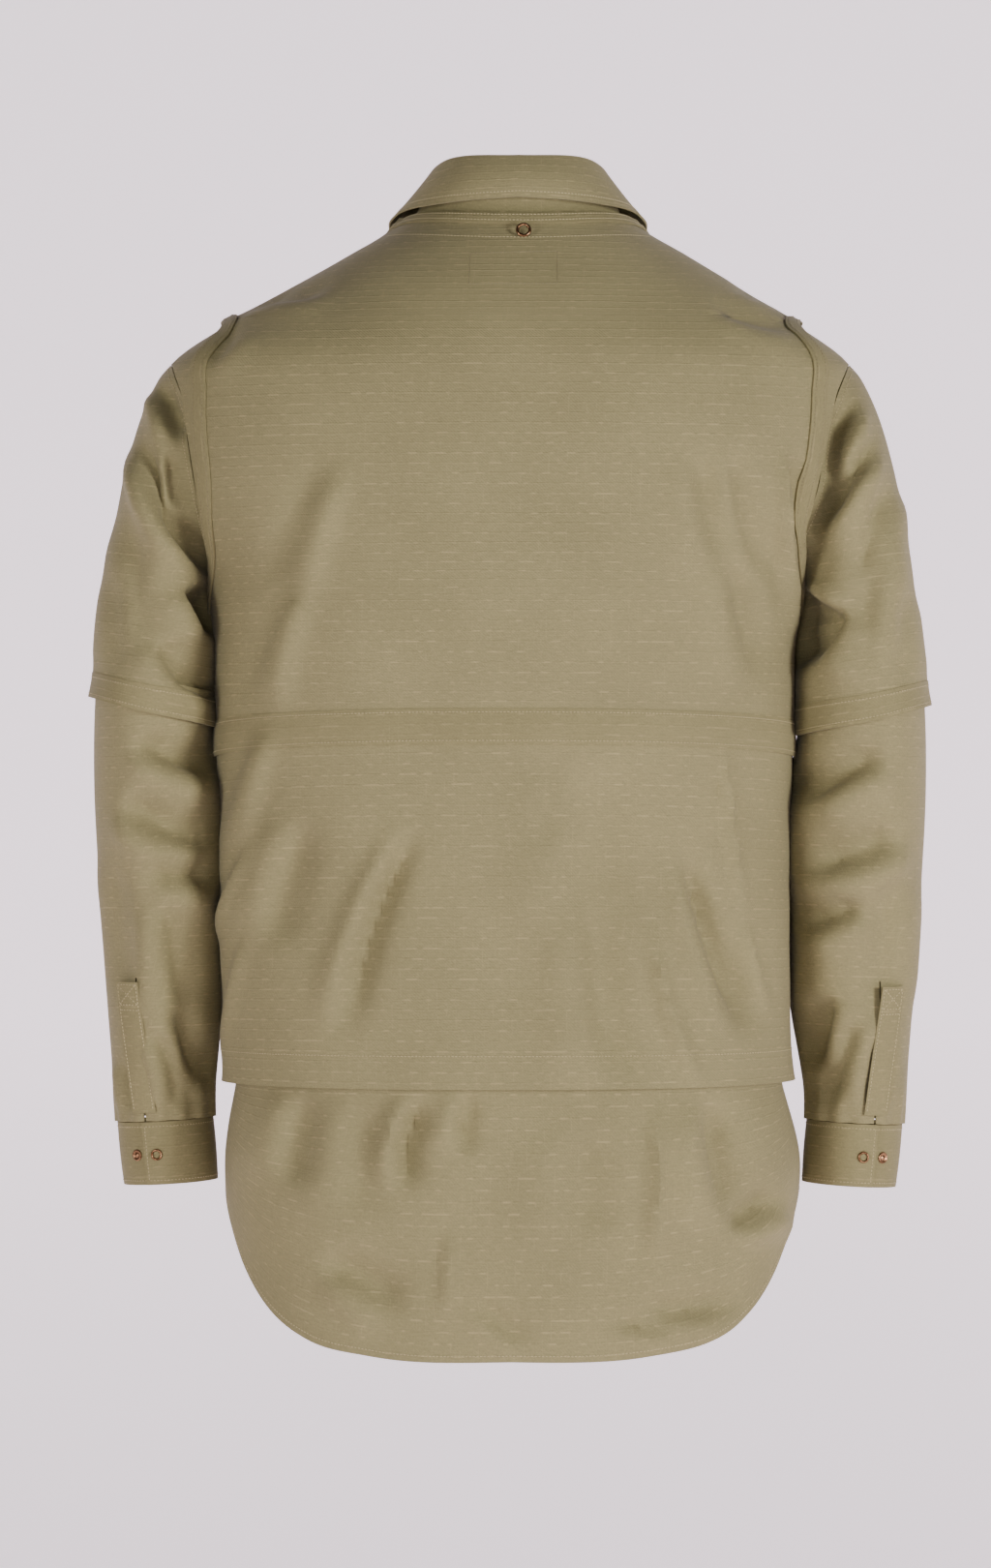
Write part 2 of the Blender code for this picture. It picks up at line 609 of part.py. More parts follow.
def make_collar(cloth, trim):
    """The collar's stand, from the shirt's neck edge to the fold line, and the leaf that falls outside it."""
    end = FOLD_LINE["end_angle"]
    angle = np.linspace(end, 180 - end, 33)
    foot = form_point(angle, neck_height(SHIRT_NECK, angle))
    head = fold_point(angle) - np.array([0.0, 0.0, STAND_BELOW_FOLD])
    foot = foot + towards_neck(foot) * STAND_INSIDE - np.array([0.0, 0.0, STAND_TUCK])
    share = np.linspace(0.0, 1.0, 4)[:, None, None]
    outer = foot + (head - foot) * share
    inwards = towards_neck(outer)
    wall_mesh("collar_stand", outer, outer + inwards * DOUBLED, trim)

    places = np.array(LEAF_EDGE)
    share = np.linspace(-1.0, 1.0, 33)
    spread = 90 - (90 - places[-1, 0]) * np.abs(share) ** 1.15
    height = through(places[:, 0], places[:, 1], spread)
    off = through(places[:, 0], places[:, 2], spread)
    edge_angle = np.where(share < 0, spread, 180 - spread)
    edge = form_point(edge_angle, height)
    edge = edge + form_normal(edge) * off[:, None]
    fold_spread = 90 - (90 - end) * np.abs(share) ** 1.15
    fold = fold_point(np.where(share < 0, fold_spread, 180 - fold_spread))
    down = np.linspace(0.0, 1.0, 5)[:, None, None]
    outer = fold + (edge - fold) * down
    away = -towards_neck(outer)
    outer = outer + away * (0.0035 * np.sin(np.pi * down) + 0.0022 * (1 - down))
    normal = grid_normal(outer)
    facing = np.sign((normal * away).sum(axis=-1, keepdims=True))
    wall_mesh("collar_leaf", outer, outer - normal * facing * DOUBLED, cloth)


def grid_normal(points, closed=False):
    """The direction square to a grid of points, from the differences along its rows and columns."""
    if closed:
        across = np.roll(points, -1, axis=1) - np.roll(points, 1, axis=1)
    else:
        across = np.gradient(points, axis=1)
    down = np.gradient(points, axis=0)
    normal = np.cross(across, down)
    return normal / np.linalg.norm(normal, axis=-1, keepdims=True)


def sleeve_rings(table, turn):
    """Rings of a sleeve: each a superellipse between its outer and its inner point."""
    rings = []
    for row in table:
        size = dict(zip(SLEEVE_COLUMNS, row))
        outer = np.array([size["outer_x"], 0.0, size["outer_z"]])
        inner = np.array([size["inner_x"], 0.0, size["inner_z"]])
        power = 2 / size["power"]
        cosine = np.sign(np.cos(turn)) * np.abs(np.cos(turn)) ** power
        sine = np.sign(np.sin(turn)) * np.abs(np.sin(turn)) ** power
        depth = np.where(sine > 0, size["back"], size["front"])
        ring = (outer + inner) / 2 + (outer - inner) / 2 * cosine[:, None]
        ring[:, 1] = size["middle_y"] + depth * sine
        rings.append(ring)
    return np.array(rings)


def right_drop(points):
    """How much lower the right sleeve hangs, most at its band."""
    height = points[..., 2]
    return RIGHT_SLEEVE_DROP * smooth(-0.12, -0.32, height) * (1 - 0.7 * smooth(-0.40, -0.62, height))


def to_side(points, side):
    """Turns points made for the left sleeve into those of the named side."""
    points = points.copy()
    if side < 0:
        points[..., 2] -= right_drop(points)
        points[..., 0] *= -1
    return points


def outward(rings):
    """The outward direction of a sleeve's grid."""
    normal = grid_normal(rings, closed=True)
    away = rings - rings.mean(axis=1, keepdims=True)
    facing = np.sign((normal * away).sum(axis=-1).mean())
    return normal * facing


def upper_rings(turn, side):
    """The short sleeve's rings, with the first along the shirt's armhole."""
    rings = sleeve_rings(UPPER_SLEEVE, turn)
    angle, height = armhole_place(SHIRT_ARMHOLE, turn, side)
    root = form_point(angle, height) * np.array([side, 1.0, 1.0])
    along = rings[0] - root
    root = root + along / np.linalg.norm(along, axis=-1, keepdims=True) * 0.0009
    return np.concatenate([root[None], rings])


def make_sleeve(side, word, cloth, trim):
    """One sleeve: the short upper one with its band, and the long one that comes out of it."""
    turn = np.linspace(0.0, 2 * np.pi, SLEEVE_COLUMN_COUNT + 1)[:-1]
    rings = upper_rings(turn, side)
    normal = outward(rings)
    rings = rings - normal * fold_depth(rings, SLEEVE_FOLDS)[..., None] * (rings[..., 1:2] > -0.008)
    inner = rings - normal * CLOTH
    wall_mesh("sleeve_upper_" + word, to_side(rings, side), to_side(inner, side), cloth, closed=True)

    run = rings[-1] - rings[-2]
    down = run / np.linalg.norm(run, axis=-1, keepdims=True)
    off = LAID_ON + CLOTH
    head = rings[-1] - down * BAND_HEIGHT + normal[-1] * off
    foot = rings[-1] + down * 0.0005 + normal[-1] * (off + BAND_FLARE)
    band = np.array([head, foot])
    thick = np.array([normal[-1] * CLOTH, normal[-1] * CLOTH])
    wall_mesh("sleeve_band_" + word, to_side(band, side), to_side(band - thick, side), trim, closed=True)

    slit = np.radians(SLIT_ANGLE)
    gap = np.radians(SLIT_HALF_ANGLE)
    around = np.linspace(slit + gap, slit - gap + 2 * np.pi, SLEEVE_COLUMN_COUNT + 1)
    hung = sleeve_rings(UPPER_SLEEVE[-2:-1], around)
    lower = np.concatenate([hung, sleeve_rings(LOWER_SLEEVE, around)])
    inward = outward(lower)
    lower[0] -= inward[0] * (CLOTH + LAID_ON)
    inward = outward(lower)
    lower = lower - inward * fold_depth(lower, SLEEVE_FOLDS[3:])[..., None] * (lower[..., 1:2] > -0.008)
    slit_cells = set()
    for row in range(SLIT_FIRST_ROW, len(lower) - 1):
        slit_cells.add((row, len(around) - 1))
    wall_mesh("sleeve_lower_" + word, to_side(lower, side), to_side(lower - inward * CLOTH, side), cloth,
              closed=True, missing=slit_cells)

    rows = []
    outs = []
    half = np.radians(PLACKET_HALF_ANGLE)
    for share in np.linspace(0.0, 1.0, 6):
        level = SLIT_FIRST_ROW + 0.15 + share * (len(lower) - 1.2 - SLIT_FIRST_ROW)
        middle = np.radians(PLACKET_ANGLE + PLACKET_TURN * share)
        angles = np.linspace(middle - half, middle + half, 5)
        rings = sleeve_rings(UPPER_SLEEVE[-2:-1] + LOWER_SLEEVE, angles)
        low = int(np.floor(level))
        part = level - low
        rows.append(rings[low] * (1 - part) + rings[min(low + 1, len(rings) - 1)] * part)
        outs.append(np.stack([np.cos(angles), np.sin(angles) * 0.8, angles * 0], axis=-1))
    strip = np.array(rows)
    away = np.array(outs)
    away = away / np.linalg.norm(away, axis=-1, keepdims=True)
    strip = strip + away * (LAID_ON + CLOTH + 0.0004)
    wall_mesh("sleeve_placket_" + word, to_side(strip, side), to_side(strip - away * CLOTH, side), trim)


def cuff_point(turn, share, off=0.0):
    """A point of the left cuff: turn round the wrist, share of its height, distance off its face."""
    turn = np.asarray(turn, float)
    start = np.radians(CUFF_LAP_ANGLE)
    layer = (turn - start) / (2 * np.pi) * (DOUBLED + LAID_ON)
    narrow = 1 - 0.02 * share
    x = CUFF_CENTRE[0] - 0.004 * share + (CUFF_HALF_WIDTH * narrow + off - layer) * np.cos(turn)
    y = CUFF_CENTRE[1] + (CUFF_HALF_DEPTH * narrow + off - layer) * np.sin(turn)
    z = CUFF_TOP - CUFF_HEIGHT * share + CUFF_SLOPE * np.cos(turn) * -0.5 + 0 * turn
    return np.stack([x, y, z + 0 * x], axis=-1)


def make_cuff(side, word, cloth):
    """A cuff: one strip whose outer end starts on the back and whose inner end runs on under it."""
    start = np.radians(CUFF_LAP_ANGLE)
    turn = np.linspace(start, start + 2 * np.pi + np.radians(CUFF_LAP), 27)
    outer = np.array([cuff_point(turn, share) for share in (0.0, 0.5, 1.0)])
    inner = np.array([cuff_point(turn, share, -DOUBLED) for share in (0.0, 0.5, 1.0)])
    wall_mesh("cuff_" + word, to_side(outer, side), to_side(inner, side), cloth)


def make_snap(name, place, out, radius, finish, off=0.0005):
    """A snap: a disc with a raised ring, turned about the direction that its face looks."""
    height = RING_HEIGHT
    profile = ((0.0, 0.0), (radius * 0.96, 0.0), (radius, height * 0.5), (radius * 0.85, height),
               (radius * 0.60, height * 0.45), (0.0, height * 0.45))
    out = np.asarray(out, float) / np.linalg.norm(out)
    first = np.cross(out, (0.0, 0.0, 1.0))
    first = first / np.linalg.norm(first)
    second = np.cross(out, first)
    base = np.asarray(place, float) + out * off
    turn = np.linspace(0.0, 2 * np.pi, SNAP_SIDES + 1)[:-1]
    points = [base]
    for reach, rise in profile[1:-1]:
        for angle in turn:
            points.append(base + out * rise + (first * np.cos(angle) + second * np.sin(angle)) * reach)
    points.append(base + out * profile[-1][1])
    last = len(points) - 1
    faces = []
    rings = len(profile) - 2
    for side in range(SNAP_SIDES):
        after = (side + 1) % SNAP_SIDES
        faces.append((0, 1 + side, 1 + after))
        for ring in range(rings - 1):
            low = 1 + ring * SNAP_SIDES
            high = low + SNAP_SIDES
            faces.append((low + side, high + side, high + after, low + after))
        top = 1 + (rings - 1) * SNAP_SIDES
        faces.append((top + side, last, top + after))
    mesh = bpy.data.meshes.new(name)
    mesh.from_pydata([tuple(point) for point in points], [], faces)
    mesh.update()
    add_piece(name, mesh, finish)


def on_form(x, height, front, off):
    """The point at x and height on the front or back, moved off the form, and its outward direction."""
    centre, half_width, _, _, power = section(height)
    reach = np.clip((x - centre) / half_width, -1, 1)
    angle = np.degrees(np.arccos(np.sign(reach) * np.abs(reach) ** (power / 2)))
    base = form_point(-angle if front else angle, height)[None]
    normal = form_normal(base)
    extra = vest_ease(base)[0] if off is None else off
    return base[0] + normal[0] * extra, normal[0]


def make_snaps(finish):
    """The ring snap under the collar, those down the vest, the shirt's lowest, and two on each cuff."""
    place, out = on_form(NECK_SNAP[0], NECK_SNAP[1], False, None)
    make_snap("neck_snap", place, out, RING_RADIUS, finish, off=0.0009)
    for index in range(VEST_SNAPS):
        place, out = on_form(0.0, VEST_NECK[-1][1] - 0.016 - SNAP_PITCH * index, True, None)
        make_snap("vest_snap_%d" % (index + 1), place + out * LAP_LIFT, out, RING_RADIUS, finish)
    for index in range(SHIRT_SNAPS):
        height = SHIRT_SNAP_TOP - index * SHIRT_SNAP_PITCH
        place, out = on_form(0.0, height, True, LAP_LIFT + LAID_ON + CLOTH)
        make_snap("shirt_snap_%d" % (index + 1), place, out, RING_RADIUS, finish)
    for side, word in ((1, "left"), (-1, "right")):
        for name, degrees in (("cuff_snap_", CUFF_SNAP_ANGLE), ("cuff_socket_", CUFF_SOCKET_ANGLE)):
            turn = np.radians(degrees)
            if degrees < CUFF_LAP_ANGLE:
                turn = turn + 2 * np.pi
            place = to_side(cuff_point(turn, 0.52)[None], side)[0]
            out = np.array([np.cos(turn) * side, np.sin(turn), 0.0])
            make_snap(name + word, place, out, SMALL_RING_RADIUS, finish)


def main():
    clear_scene()
    cloth = material("ripstop_cotton", OLIVE, 0.85)
    trim = material("ripstop_cotton_doubled", OLIVE_SHADE, 0.85)
    brass = material("antique_brass", BRASS, 0.35, 1.0)
    make_shirt_body(cloth)
    make_vest_body(cloth, trim)
    make_collar(cloth, trim)
    for side, word in ((1, "left"), (-1, "right")):
        make_sleeve(side, word, cloth, trim)
        make_cuff(side, word, trim)
    make_snaps(brass)


main()
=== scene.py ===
# %% [markdown]
# # A two-layer shirt jacket, seen from behind
# The real garment is a sleeveless vest worn over a long shirt, both in the same ripstop cotton. It is
# empty and keeps its worn form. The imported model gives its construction. This lesson dresses it: every
# panel is worked out again as a fine grid on the same body form, with creases, stitches and a woven
# finish.

import json

import bpy
import numpy as np
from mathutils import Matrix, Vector

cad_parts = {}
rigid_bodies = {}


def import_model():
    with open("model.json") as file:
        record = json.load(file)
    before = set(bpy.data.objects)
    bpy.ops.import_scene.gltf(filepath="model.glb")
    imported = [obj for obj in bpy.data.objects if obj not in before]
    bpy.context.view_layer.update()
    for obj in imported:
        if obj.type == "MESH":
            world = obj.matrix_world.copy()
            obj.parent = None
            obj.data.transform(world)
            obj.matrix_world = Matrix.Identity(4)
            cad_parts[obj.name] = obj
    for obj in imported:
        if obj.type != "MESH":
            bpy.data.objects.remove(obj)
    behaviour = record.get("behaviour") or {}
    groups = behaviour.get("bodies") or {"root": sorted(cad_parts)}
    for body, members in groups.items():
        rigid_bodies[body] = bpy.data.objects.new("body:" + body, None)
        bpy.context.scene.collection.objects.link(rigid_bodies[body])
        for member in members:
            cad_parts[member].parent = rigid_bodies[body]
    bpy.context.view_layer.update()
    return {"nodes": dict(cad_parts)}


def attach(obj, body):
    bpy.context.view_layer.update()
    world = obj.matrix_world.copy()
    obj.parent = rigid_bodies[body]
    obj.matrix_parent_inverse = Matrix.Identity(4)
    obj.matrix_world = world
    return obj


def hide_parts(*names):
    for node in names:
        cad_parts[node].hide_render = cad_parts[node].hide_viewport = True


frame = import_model()
print("frame nodes:", len(frame["nodes"]))

# %% [markdown]
# ## Two soft curves
# Tables in this lesson have few rows. A curve that passes smoothly through the rows gives everything
# between them. A soft step blends one thing into another. Straight pieces between rows would show as
# flats in cloth.

# %% Soft curves
def smooth(low, high, value):
    """A soft step: 0 at low, 1 at high, and 3s^2 - 2s^3 between them."""
    share = np.clip((np.asarray(value, float) - low) / (high - low), 0.0, 1.0)
    return share * share * (3.0 - 2.0 * share)


def through(places, values, at):
    """A cubic between each two rows, whose slope at a row is that of its two neighbours."""
    places = np.asarray(places, float)
    values = np.asarray(values, float)
    order = np.argsort(places)
    places = places[order]
    values = values[order]
    slopes = np.gradient(values, places)
    at = np.clip(np.asarray(at, float), places[0], places[-1])
    cell = np.clip(np.searchsorted(places, at) - 1, 0, len(places) - 2)
    span = places[cell + 1] - places[cell]
    s = (at - places[cell]) / span
    start = values[cell] * (1 + 2 * s) * (1 - s) ** 2 + slopes[cell] * span * s * (1 - s) ** 2
    end = values[cell + 1] * s * s * (3 - 2 * s) + slopes[cell + 1] * span * s * s * (s - 1)
    return start + end


# %% [markdown]
# ## The body form
# A tailor drapes on a dress form. Here the form is a stack of level sections, each a superellipse, and a
# place on it is an angle and a height: 0 degrees is the wearer's left side, 90 the centre back, -90 the
# centre front. Sculpting would give the same surface, but a formula lets every panel, seam and stitch
# find its place.

# %% The body form
CLOTH = 0.0011
DOUBLED = 0.0015
SEAM = 0.0002
BODY_Y = -0.008
SIDES = ((1, "left"), (-1, "right"))
SECTION_COLUMNS = ("height", "centre", "half_width", "back", "front", "power")
SECTIONS = np.array((
    (0.030, -0.006, 0.0700, 0.062, 0.060, 2.00),
    (0.006, -0.006, 0.0775, 0.066, 0.061, 2.00),
    (-0.020, -0.005, 0.1190, 0.084, 0.059, 2.00),
    (-0.045, -0.003, 0.1635, 0.101, 0.061, 2.05),
    (-0.070, -0.001, 0.2080, 0.114, 0.068, 2.10),
    (-0.093, 0.000, 0.2385, 0.121, 0.078, 2.20),
    (-0.120, 0.001, 0.2435, 0.127, 0.092, 2.30),
    (-0.160, 0.002, 0.2400, 0.132, 0.108, 2.35),
    (-0.200, 0.003, 0.2260, 0.134, 0.118, 2.35),
    (-0.235, 0.003, 0.2060, 0.134, 0.123, 2.35),
    (-0.270, 0.004, 0.1985, 0.133, 0.125, 2.40),
    (-0.340, 0.004, 0.1950, 0.127, 0.121, 2.40),
    (-0.420, 0.004, 0.1925, 0.122, 0.117, 2.40),
    (-0.520, 0.003, 0.1905, 0.122, 0.116, 2.40),
    (-0.590, 0.001, 0.1910, 0.125, 0.117, 2.40),
    (-0.650, -0.002, 0.2020, 0.128, 0.119, 2.40),
    (-0.720, 0.000, 0.1965, 0.126, 0.119, 2.40),
    (-0.800, 0.000, 0.1920, 0.124, 0.118, 2.40),
))
VEST_EASE = ((0.030, 0.0034), (-0.010, 0.0034), (-0.040, 0.0029), (-0.070, 0.0029), (-0.093, 0.0046),
             (-0.120, 0.0042), (-0.160, 0.0044), (-0.200, 0.0050), (-0.235, 0.0072), (-0.270, 0.0080),
             (-0.450, 0.0090), (-0.800, 0.0090))


def section(height):
    """Centre, half width, back, front and power of the level section at a height."""
    return [through(SECTIONS[:, 0], SECTIONS[:, index], height) for index in range(1, len(SECTION_COLUMNS))]


def form_point(angle, height):
    """x is half_width * cos(angle)^(2/power) and y is depth * sin(angle)^(2/power), each with its sign."""
    angle, height = np.broadcast_arrays(np.radians(angle), np.asarray(height, float))
    centre, half_width, back, front, power = section(height)
    cosine = np.cos(angle)
    sine = np.sin(angle)
    depth = np.where(sine >= 0, back, front)
    x = centre + half_width * np.sign(cosine) * np.abs(cosine) ** (2 / power)
    y = BODY_Y + depth * np.sign(sine) * np.abs(sine) ** (2 / power)
    return np.stack([x, y, height], axis=-1)


def form_normal(points):
    """The slope of the superellipse's sum of powers along each axis, which points out of the form."""
    def level(at):
        centre, half_width, back, front, power = section(at[..., 2])
        depth = np.where(at[..., 1] >= BODY_Y, back, front)
        across = np.abs((at[..., 0] - centre) / half_width)
        return across ** power + np.abs((at[..., 1] - BODY_Y) / depth) ** power

    slope = np.zeros_like(points)
    for axis, shift in enumerate(np.eye(3) * 0.0005):
        slope[..., axis] = level(points + shift) - level(points - shift)
    return slope / np.linalg.norm(slope, axis=-1, keepdims=True)


def vest_ease(points):
    """The distance from the shirt's outer face to the vest's, a little more over the shirt's placket."""
    heights, eases = zip(*VEST_EASE)
    near_front = smooth(0.100, 0.050, np.abs(points[..., 0])) * (points[..., 1] < 0)
    near_front = near_front * smooth(-0.270, -0.200, points[..., 2])
    return through(heights, eases, points[..., 2]) + 0.0035 * near_front


chest = form_point(np.arange(0.0, 360.0), -0.27)
print("chest round the shirt: %.2f m" % np.linalg.norm(np.diff(chest, axis=0), axis=1).sum())

# %% [markdown]
# ## Creases
# Worn cotton breaks into a few long folds from the points that hold it: the shoulders, the armpits, the
# waist casing and the elbows. Each row is one crease as it is seen from behind (or from the front): where
# it starts and ends, how far its middle bows, its width and its depth. A crease is a trough with a soft
# ridge beside it. A cloth simulation would put folds where it likes, and these have to lie where they are
# on the real garment.

# %% Creases
CREASE_COLUMNS = ("start_x", "start_z", "end_x", "end_z", "bow", "width", "depth")
VEST_BACK_CREASES = (
    (0.110, -0.166, 0.138, -0.272, 0.004, 0.013, -0.0030),
    (0.134, -0.250, 0.158, -0.345, 0.003, 0.011, -0.0034),
    (0.156, -0.345, 0.183, -0.440, 0.002, 0.010, -0.0034),
    (0.062, -0.412, 0.113, -0.566, 0.007, 0.008, 0.0056),
    (0.135, -0.410, 0.160, -0.505, 0.003, 0.012, 0.0040),
    (0.168, -0.425, 0.197, -0.505, 0.003, 0.005, -0.0022),
    (0.171, -0.485, 0.190, -0.590, 0.003, 0.005, -0.0022),
    (-0.052, -0.358, -0.060, -0.500, 0.004, 0.022, 0.0036),
    (-0.056, -0.465, -0.076, -0.600, 0.004, 0.017, 0.0044),
    (-0.094, -0.480, -0.133, -0.610, 0.006, 0.006, -0.0026),
    (-0.115, -0.430, -0.161, -0.566, 0.003, 0.009, 0.0060),
    (-0.142, -0.350, -0.158, -0.490, 0.002, 0.004, -0.0024),
    (-0.156, -0.480, -0.172, -0.552, 0.002, 0.005, -0.0022),
    (-0.127, -0.158, -0.149, -0.240, 0.003, 0.012, 0.0034),
    (-0.148, -0.225, -0.170, -0.320, 0.002, 0.011, 0.0032),
    (-0.150, -0.155, -0.175, -0.252, 0.002, 0.009, 0.0032),
    (-0.186, -0.150, -0.193, -0.290, 0.002, 0.005, -0.0030),
    (-0.192, -0.160, -0.198, -0.226, 0.000, 0.008, 0.0036),
    (0.196, -0.060, 0.122, -0.050, -0.004, 0.007, 0.0018),
    (0.174, -0.050, 0.118, -0.040, 0.003, 0.006, 0.0014),
    (-0.136, -0.058, -0.204, -0.072, 0.004, 0.008, 0.0020),
    (-0.150, -0.044, -0.196, -0.052, 0.000, 0.006, 0.0012),
    (0.208, -0.100, 0.188, -0.070, 0.003, 0.007, 0.0016),
    (-0.020, -0.440, -0.028, -0.350, 0.003, 0.015, 0.0020),
)
VEST_FRONT_CREASES = (
    (0.176, -0.190, 0.128, -0.300, -0.008, 0.014, 0.0040),
    (0.150, -0.130, 0.110, -0.200, 0.005, 0.012, 0.0026),
    (0.110, -0.330, 0.142, -0.560, 0.012, 0.016, 0.0042),
    (0.060, -0.360, 0.046, -0.560, -0.006, 0.018, 0.0034),
    (0.172, -0.420, 0.166, -0.590, 0.004, 0.012, 0.0030),
    (-0.170, -0.200, -0.120, -0.330, 0.009, 0.015, 0.0040),
    (-0.150, -0.140, -0.100, -0.190, -0.005, 0.011, 0.0026),
    (-0.086, -0.380, -0.120, -0.580, 0.010, 0.016, 0.0040),
    (-0.046, -0.300, -0.052, -0.470, -0.006, 0.016, 0.0030),
    (-0.160, -0.400, -0.174, -0.580, 0.000, 0.012, 0.0030),
)
TAIL_CREASES = (
    (0.058, -0.600, 0.070, -0.668, 0.008, 0.008, 0.0056),
    (0.030, -0.594, 0.034, -0.642, 0.000, 0.007, 0.0036),
    (0.138, -0.600, 0.152, -0.668, 0.003, 0.012, 0.0038),
    (0.132, -0.716, 0.072, -0.748, -0.005, 0.012, 0.0042),
    (0.040, -0.690, 0.042, -0.752, 0.000, 0.006, -0.0020),
    (0.026, -0.738, -0.014, -0.770, 0.002, 0.007, 0.0024),
    (-0.101, -0.600, -0.102, -0.730, 0.000, 0.007, -0.0030),
    (-0.138, -0.600, -0.158, -0.690, 0.004, 0.014, 0.0056),
    (-0.150, -0.694, -0.190, -0.672, 0.000, 0.009, 0.0056),
    (-0.084, -0.746, -0.162, -0.742, 0.004, 0.009, 0.0034),
    (-0.066, -0.756, -0.120, -0.762, 0.000, 0.006, 0.0022),
    (-0.050, -0.620, -0.058, -0.700, 0.004, 0.018, 0.0030),
    (0.100, -0.600, 0.104, -0.690, 0.004, 0.014, 0.0026),
)


def crease_rise(points, creases, gain=2.0):
    """With d the signed distance from a bowed line: -exp(-(d/w)^2) and a ridge of half its height beside it.

    The width w is half as wide on the crisp side. A negative depth is a raised fold, crisp on its other side.
    """
    flat = points[..., [0, 2]].reshape(-1, 2)
    total = np.zeros(len(flat))
    along = np.linspace(0.0, 1.0, 61)
    for row in creases:
        size = dict(zip(CREASE_COLUMNS, row))
        start = np.array([size["start_x"], size["start_z"]])
        run = np.array([size["end_x"], size["end_z"]]) - start
        sideways = np.array([-run[1], run[0]]) / np.linalg.norm(run)
        line = start + along[:, None] * run + np.sin(np.pi * along)[:, None] * size["bow"] * sideways
        apart = flat[:, None, :] - line
        distance = np.linalg.norm(apart, axis=-1)
        nearest = np.argmin(distance, axis=1)
        signed = distance.min(axis=1) * np.sign((apart[np.arange(len(flat)), nearest] * sideways).sum(axis=1))
        share = along[nearest]
        fade = smooth(-0.02, 0.30, share) * smooth(1.02, 0.65, share)
        width = size["width"] * (0.8 + 0.5 * share)
        crisp = signed * np.sign(size["depth"]) > 0
        trough = np.exp(-((signed / (width * np.where(crisp, 0.6, 1.2))) ** 2))
        ridge = 0.5 * np.exp(-(((signed - 1.5 * width) / (0.9 * width)) ** 2))
        total += gain * size["depth"] * fade * (ridge - trough)
    return total.reshape(points.shape[:-1])


def slack(points, size=0.0011):
    """The slow unevenness of hung cloth: five waves of unlike lengths and directions, added up."""
    x, y, z = points[..., 0], points[..., 1], points[..., 2]
    waves = np.sin(33 * x + 9 * z + 0.6) + 0.8 * np.sin(57 * x - 14 * z + 11 * y + 2.1)
    waves = waves + 0.6 * np.sin(21 * z + 18 * x + 4.0) + 0.5 * np.sin(88 * x + 6 * z + 1.0)
    return size * 0.5 * (waves + 0.4 * np.sin(47 * z - 31 * x + 5.2))


BODY_CREASES = (VEST_BACK_CREASES, VEST_FRONT_CREASES, TAIL_CREASES)
print("creases on the body:", sum(len(table) for table in BODY_CREASES))

# %% [markdown]
# ## From a grid to cloth
# Each panel is one grid of points. A second grid a cloth's thickness inside it and a rim join it into a
# thin closed shell, as real cloth has two faces and an edge. Its UV map is laid out in metres, so that
# the weave keeps its true size on every piece.

# %% Shells of cloth
SHEETS = []


def grid_normal(points, closed=False):
    """The cross product of the steps along the columns and the rows, which is square to the surface."""
    if closed:
        across = np.roll(points, -1, axis=1) - np.roll(points, 1, axis=1)
    else:
        across = np.gradient(points, axis=1)
    normal = np.cross(across, np.gradient(points, axis=0))
    return normal / np.maximum(np.linalg.norm(normal, axis=-1, keepdims=True), 1e-12)


def metre_map(points, grain=None):
    """u is the length along a row, from its middle; v is the length down, or along the grain of a sleeve."""
    middle = points.shape[1] // 2
    if grain is not None:
        axis = np.array(grain, float) / np.linalg.norm(grain)
        v = points @ axis
        steps = np.linalg.norm(np.diff(points - v[..., None] * axis, axis=1), axis=-1)
        u = np.concatenate([np.zeros((len(points), 1)), np.cumsum(steps, axis=1)], axis=1)
        return np.stack([u - u[:, middle:middle + 1], v], axis=-1)
    steps = np.linalg.norm(np.diff(points, axis=1), axis=-1)
    u = np.concatenate([np.zeros((len(points), 1)), np.cumsum(steps, axis=1)], axis=1)
    down = np.linalg.norm(np.diff(points, axis=0), axis=-1).mean(axis=1)
    v = np.concatenate([[0.0], np.cumsum(down)])
    return np.stack([u - u[:, middle:middle + 1], np.broadcast_to(v[:, None], u.shape)], axis=-1)


def grid_area(points):
    """The area of a grid: half the cross product of the two diagonals of every cell."""
    first = points[1:, 1:] - points[:-1, :-1]
    second = points[1:, :-1] - points[:-1, 1:]
    return 0.5 * np.linalg.norm(np.cross(first, second), axis=-1).sum()


